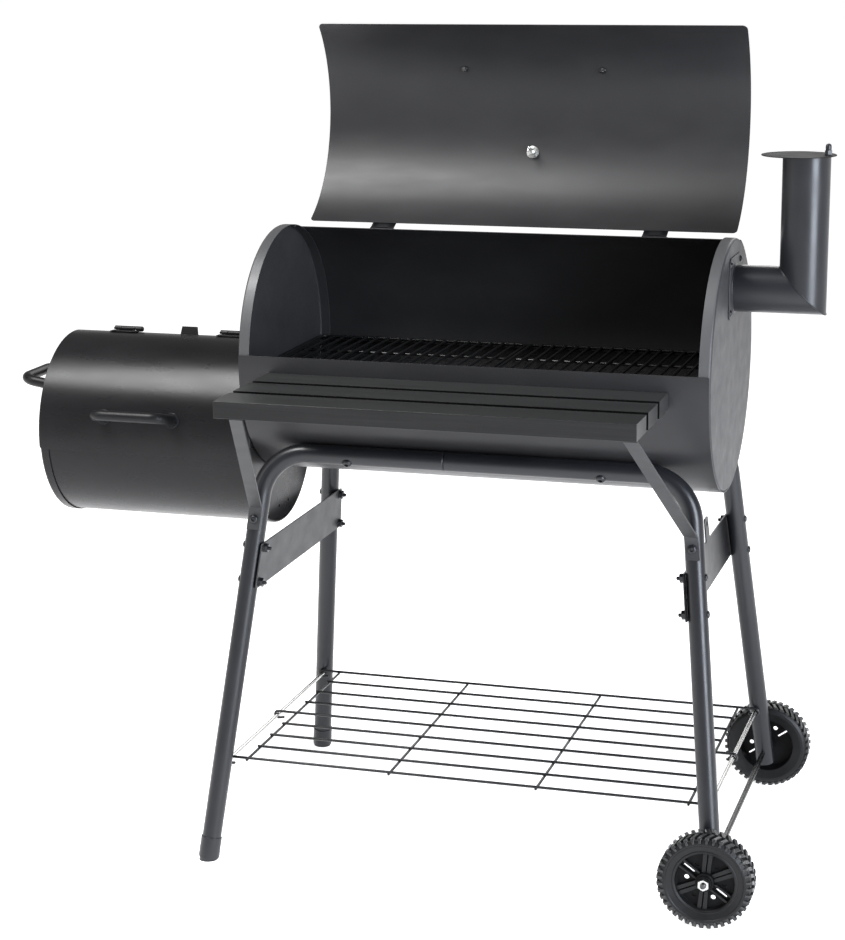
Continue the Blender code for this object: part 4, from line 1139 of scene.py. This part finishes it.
# ------------------------------------------------------------------ wheels
def tyre_lugs(outer, inner):
    """Two staggered rows of slanted blocks around the tread, and ribs from them down the outer shoulder."""
    parts = []
    count = 40
    for row, (low, high) in enumerate(((0.005, 0.0205), (0.0225, 0.038))):
        for k in range(count):
            turn = 2 * pi * (k + row / 2) / count
            slant = (1 if row else -1) * 0.085
            bm = bmesh.new()
            rings = []
            for z, share in ((low, 0.0), ((low + high) / 2, 0.5), (high, 1.0)):
                middle = turn + slant * (share - 0.5)
                spots = [(reach, middle + way * width) for reach, width in
                         ((inner, 0.052), (outer - 0.0006, 0.043), (outer, 0.038)) for way in (-1, 1)]
                ring = [bm.verts.new((reach * cos(place), reach * sin(place), z)) for reach, place in spots]
                rings.append([ring[corner] for corner in (0, 2, 4, 5, 3, 1)])
            for first, second in zip(rings, rings[1:]):
                band(bm, first, second)
            for ring in (rings[0], rings[-1]):
                bm.faces.new(ring)
            finish(bm)
            parts.append(bm)
    shoulder = [(0.0352, 0.0615), (0.0352, outer - 0.0008), (0.038, outer - 0.0008), (0.0398, 0.0625),
                (0.0404, 0.0572), (0.0385, 0.0572)]
    upright = Matrix(((0, 1, 0, 0), (0, 0, 1, 0), (1, 0, 0, 0), (0, 0, 0, 1)))
    for k in range(count):
        spin = about_z(2 * pi * (k + 0.5) / count + 0.0425)
        parts.append(prism(shoulder, -0.0017, 0.0017, spin @ upright))
    return merge(*parts)


def on_axle(node, side):
    """Z along the axle, outward from a node's near face."""
    near = min(abs(corner.y) for corner in node_box(node))
    return shift((AXLE_X, side * near, WHEEL_R)) @ Matrix.Rotation(-side * pi / 2, 4, "X")


def make_wheel(side, name):
    body = "wheel_" + name
    at = on_axle(body, side)
    profile = mm((4.08, 40, 0.5), (10, 40, 1), (10.8, 37, 0.6), (13, 36, 0.8), (13, 27.2, 0.8),
                 (39.5, 27, 1.2), (41, 35.5, 1.4), (44, 37.2, 1), (45.5, 36.2, 0.8), (53, 39, 1),
                 (54, 40.2, 0.5), (56.5, 40.4, 0.5), (57.5, 39.6, 0.8), (62.5, 36.5, 3), (62.5, 6.5, 3),
                 (57.5, 3.4, 0.8), (54, 2.8, 0.8), (41, 7.2, 1.2), (39.5, 24.5, 0.8), (12, 24.5, 0.8),
                 (12, 0, 0.6), (4.08, 0))
    carcass = lathe(fillet(profile, 3, True), 96, closed=True)
    tools, ribs = [], []
    slot = rectangle((0.0185, 0.0365), (-0.0014, 0.0014), 0.0013, 3)
    for k in range(6):
        spoke = about_z(radians(85 + 60 * k))
        slotted = k in (1, 4)
        if slotted:
            tools.append(prism(slot, 0.01, 0.03, spoke))
        between = about_z(radians(115 + 60 * k)) @ shift((0.026, 0, 0))
        floor = 0.01 if k in (1, 3) else 0.0258
        tools.append(disc(0.0035, floor, 0.03, 20, between))
        gap = 0.0036 if slotted else 0.0008
        for across in (-1, 1):
            blade = [(0.0125, across * gap), (0.0402, across * gap), (0.0402, across * 0.0068),
                     (0.0125, across * 0.0058)]
            ribs.append(prism(blade, 0.0262, 0.0318, spoke))
    carcass = carve(carcass, tools)
    tyre = mesh_piece("tyre_" + name, carcass, "black_plastic", [body], matrix=at, crease=35, body=body)
    middle = BASE + Vector((AXLE_X, 0, WHEEL_R))
    second_look(tyre, "wheel_disc", lambda face: (face.center - middle).xz.length < 0.04)
    mesh_piece("wheel_spokes_" + name, merge(*ribs), "black_plastic", matrix=at, crease=35, bevel=0.0003,
               body=body)
    # the lugs take the lighter plastic, a painted highlight on their tops
    mesh_piece("tyre_lugs_" + name, tyre_lugs(WHEEL_R - 0.0001, TYRE_R - 0.0008), "black_plastic",
               look="tread", matrix=at, crease=30, bevel=0.0004, body=body)
    nut = hex_nut(0.0082, 0.0043, 0.0063, on_axle("axle_nut_" + name, side))
    mesh_piece("wheel_nut_" + name, nut, "zinc", ["axle_nut_" + name])


def make_axle():
    low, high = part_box("axle")
    radius, half = (high.z - low.z) / 2, (high.y - low.y) / 2
    at = shift((AXLE_X, 0, WHEEL_R)) @ ALONG_Y
    mesh_piece("axle_bar", plain_bar(radius, half), "zinc", ["axle"], "axle_steel", at)


make_barrel()
for grate in ("left", "right"):
    make_grate("cooking_wires_" + grate, "cooking_grate_" + grate, 0.0022, (-0.068, 0.068), 18)
make_grate("fire_wires", "firebox_grate", 0.0023, (-0.06, 0.06), 10)
make_barrel_lid()
make_thermometer()
make_firebox()
make_firebox_lid()
for hinge_x, hinge_side in ((-0.207, "left"), (0.207, "right")):
    make_hinge("barrel", hinge_side, hinge_x, 0.036, BARREL_Z, LID_AXIS, BARREL_R, LID_R, "barrel_lid")
for hinge_x, hinge_side in ((-0.087, "left"), (0.087, "right")):
    make_hinge("firebox", hinge_side, FIREBOX_MIDDLE + hinge_x, 0.045, FIREBOX_Z, FIREBOX_AXIS,
               FIREBOX_SHELL_R, FIREBOX_LID_R, "firebox_lid")
make_chimney()
make_shelf()
make_frames()
make_foot_caps()
make_side_plates()
make_rack()
make_axle()
for wheel_side, wheel_name in ((-1, "front"), (1, "rear")):
    make_wheel(wheel_side, wheel_name)
for kept in ("grate_ledge_front", "grate_ledge_rear"):
    frame["nodes"][kept].material_slots[0].material = MATERIALS["black_sheet"]


# ------------------------------------------------------------------ studio
def make_stage():
    bm = bmesh.new()
    bmesh.ops.create_grid(bm, x_segments=2, y_segments=2, size=90.0)
    mesh = bpy.data.meshes.new("floor")
    bm.to_mesh(mesh)
    bm.free()
    floor = bpy.data.objects.new("floor", mesh)
    link(floor)
    look = Look("pale_floor", Base_Color=(0.86, 0.86, 0.87, 1), Roughness=0.9, Specular_IOR_Level=0.1,
                Emission_Color=(1, 1, 1, 1), Emission_Strength=0.86)
    mesh.materials.append(look.material)


def add_area(name, place, target, size, power, colour=(1, 1, 1)):
    light = bpy.data.lights.new(name, "AREA")
    light.shape = "RECTANGLE"
    light.size, light.size_y = size
    light.energy = power
    light.color = colour
    obj = bpy.data.objects.new(name, light)
    aim = Vector(target) - Vector(place)
    obj.matrix_world = shift(place) @ aim.to_track_quat("-Z", "Y").to_matrix().to_4x4()
    link(obj)


def make_world():
    world = bpy.data.worlds.new("studio")
    bpy.context.scene.world = world
    world.use_nodes = True
    tree = world.node_tree
    background = tree.nodes["Background"]
    split = tree.nodes.new("ShaderNodeSeparateXYZ")
    tree.links.new(tree.nodes.new("ShaderNodeTexCoord").outputs["Generated"], split.inputs["Vector"])
    tree.links.new(ramp(tree, split.outputs["Z"], ((0.0, 0.9), (0.12, 0.8), (0.35, 0.22), (1.0, 0.16))),
                   background.inputs["Color"])
    background.inputs["Strength"].default_value = 0.75


def make_camera():
    yaw, pitch, roll = radians(17.1155), radians(-13.0813), radians(-0.417)
    ahead = Vector((-sin(yaw) * cos(pitch), cos(yaw) * cos(pitch), sin(pitch)))
    right = Vector((cos(yaw), sin(yaw), 0))
    up = right.cross(ahead)
    across = right * cos(roll) + up * sin(roll)
    above = up * cos(roll) - right * sin(roll)
    matrix = Matrix((across, above, -ahead)).transposed().to_4x4()
    matrix.translation = BASE + Vector((0.8479, -3.2291, 1.321))
    data = bpy.data.cameras.new("camera")
    data.lens = 89.04
    data.shift_x, data.shift_y = 0.0189, 0.0044
    data.clip_end = 500
    camera = bpy.data.objects.new("camera", data)
    camera.matrix_world = matrix
    link(camera)
    bpy.context.scene.camera = camera


make_stage()
make_world()
add_area("front_top", (-1.15, -0.9, 3.1), (-0.12, 0.1, 0.9), (1.1, 1.5), 118)
add_area("strip_right", (2.8, -1.75, 1.3), (0.3, 0, 0.7), (1.4, 2.2), 165, (0.82, 0.89, 1.0))
add_area("fill_left", (-3.0, -1.8, 1.8), (0, 0, 0.6), (1.4, 1.8), 14)
add_area("back", (0.4, 3.4, 2.2), (0.1, 0, 0.7), (2.6, 1.4), 40)
make_camera()
bpy.context.scene.view_settings.view_transform = "Standard"
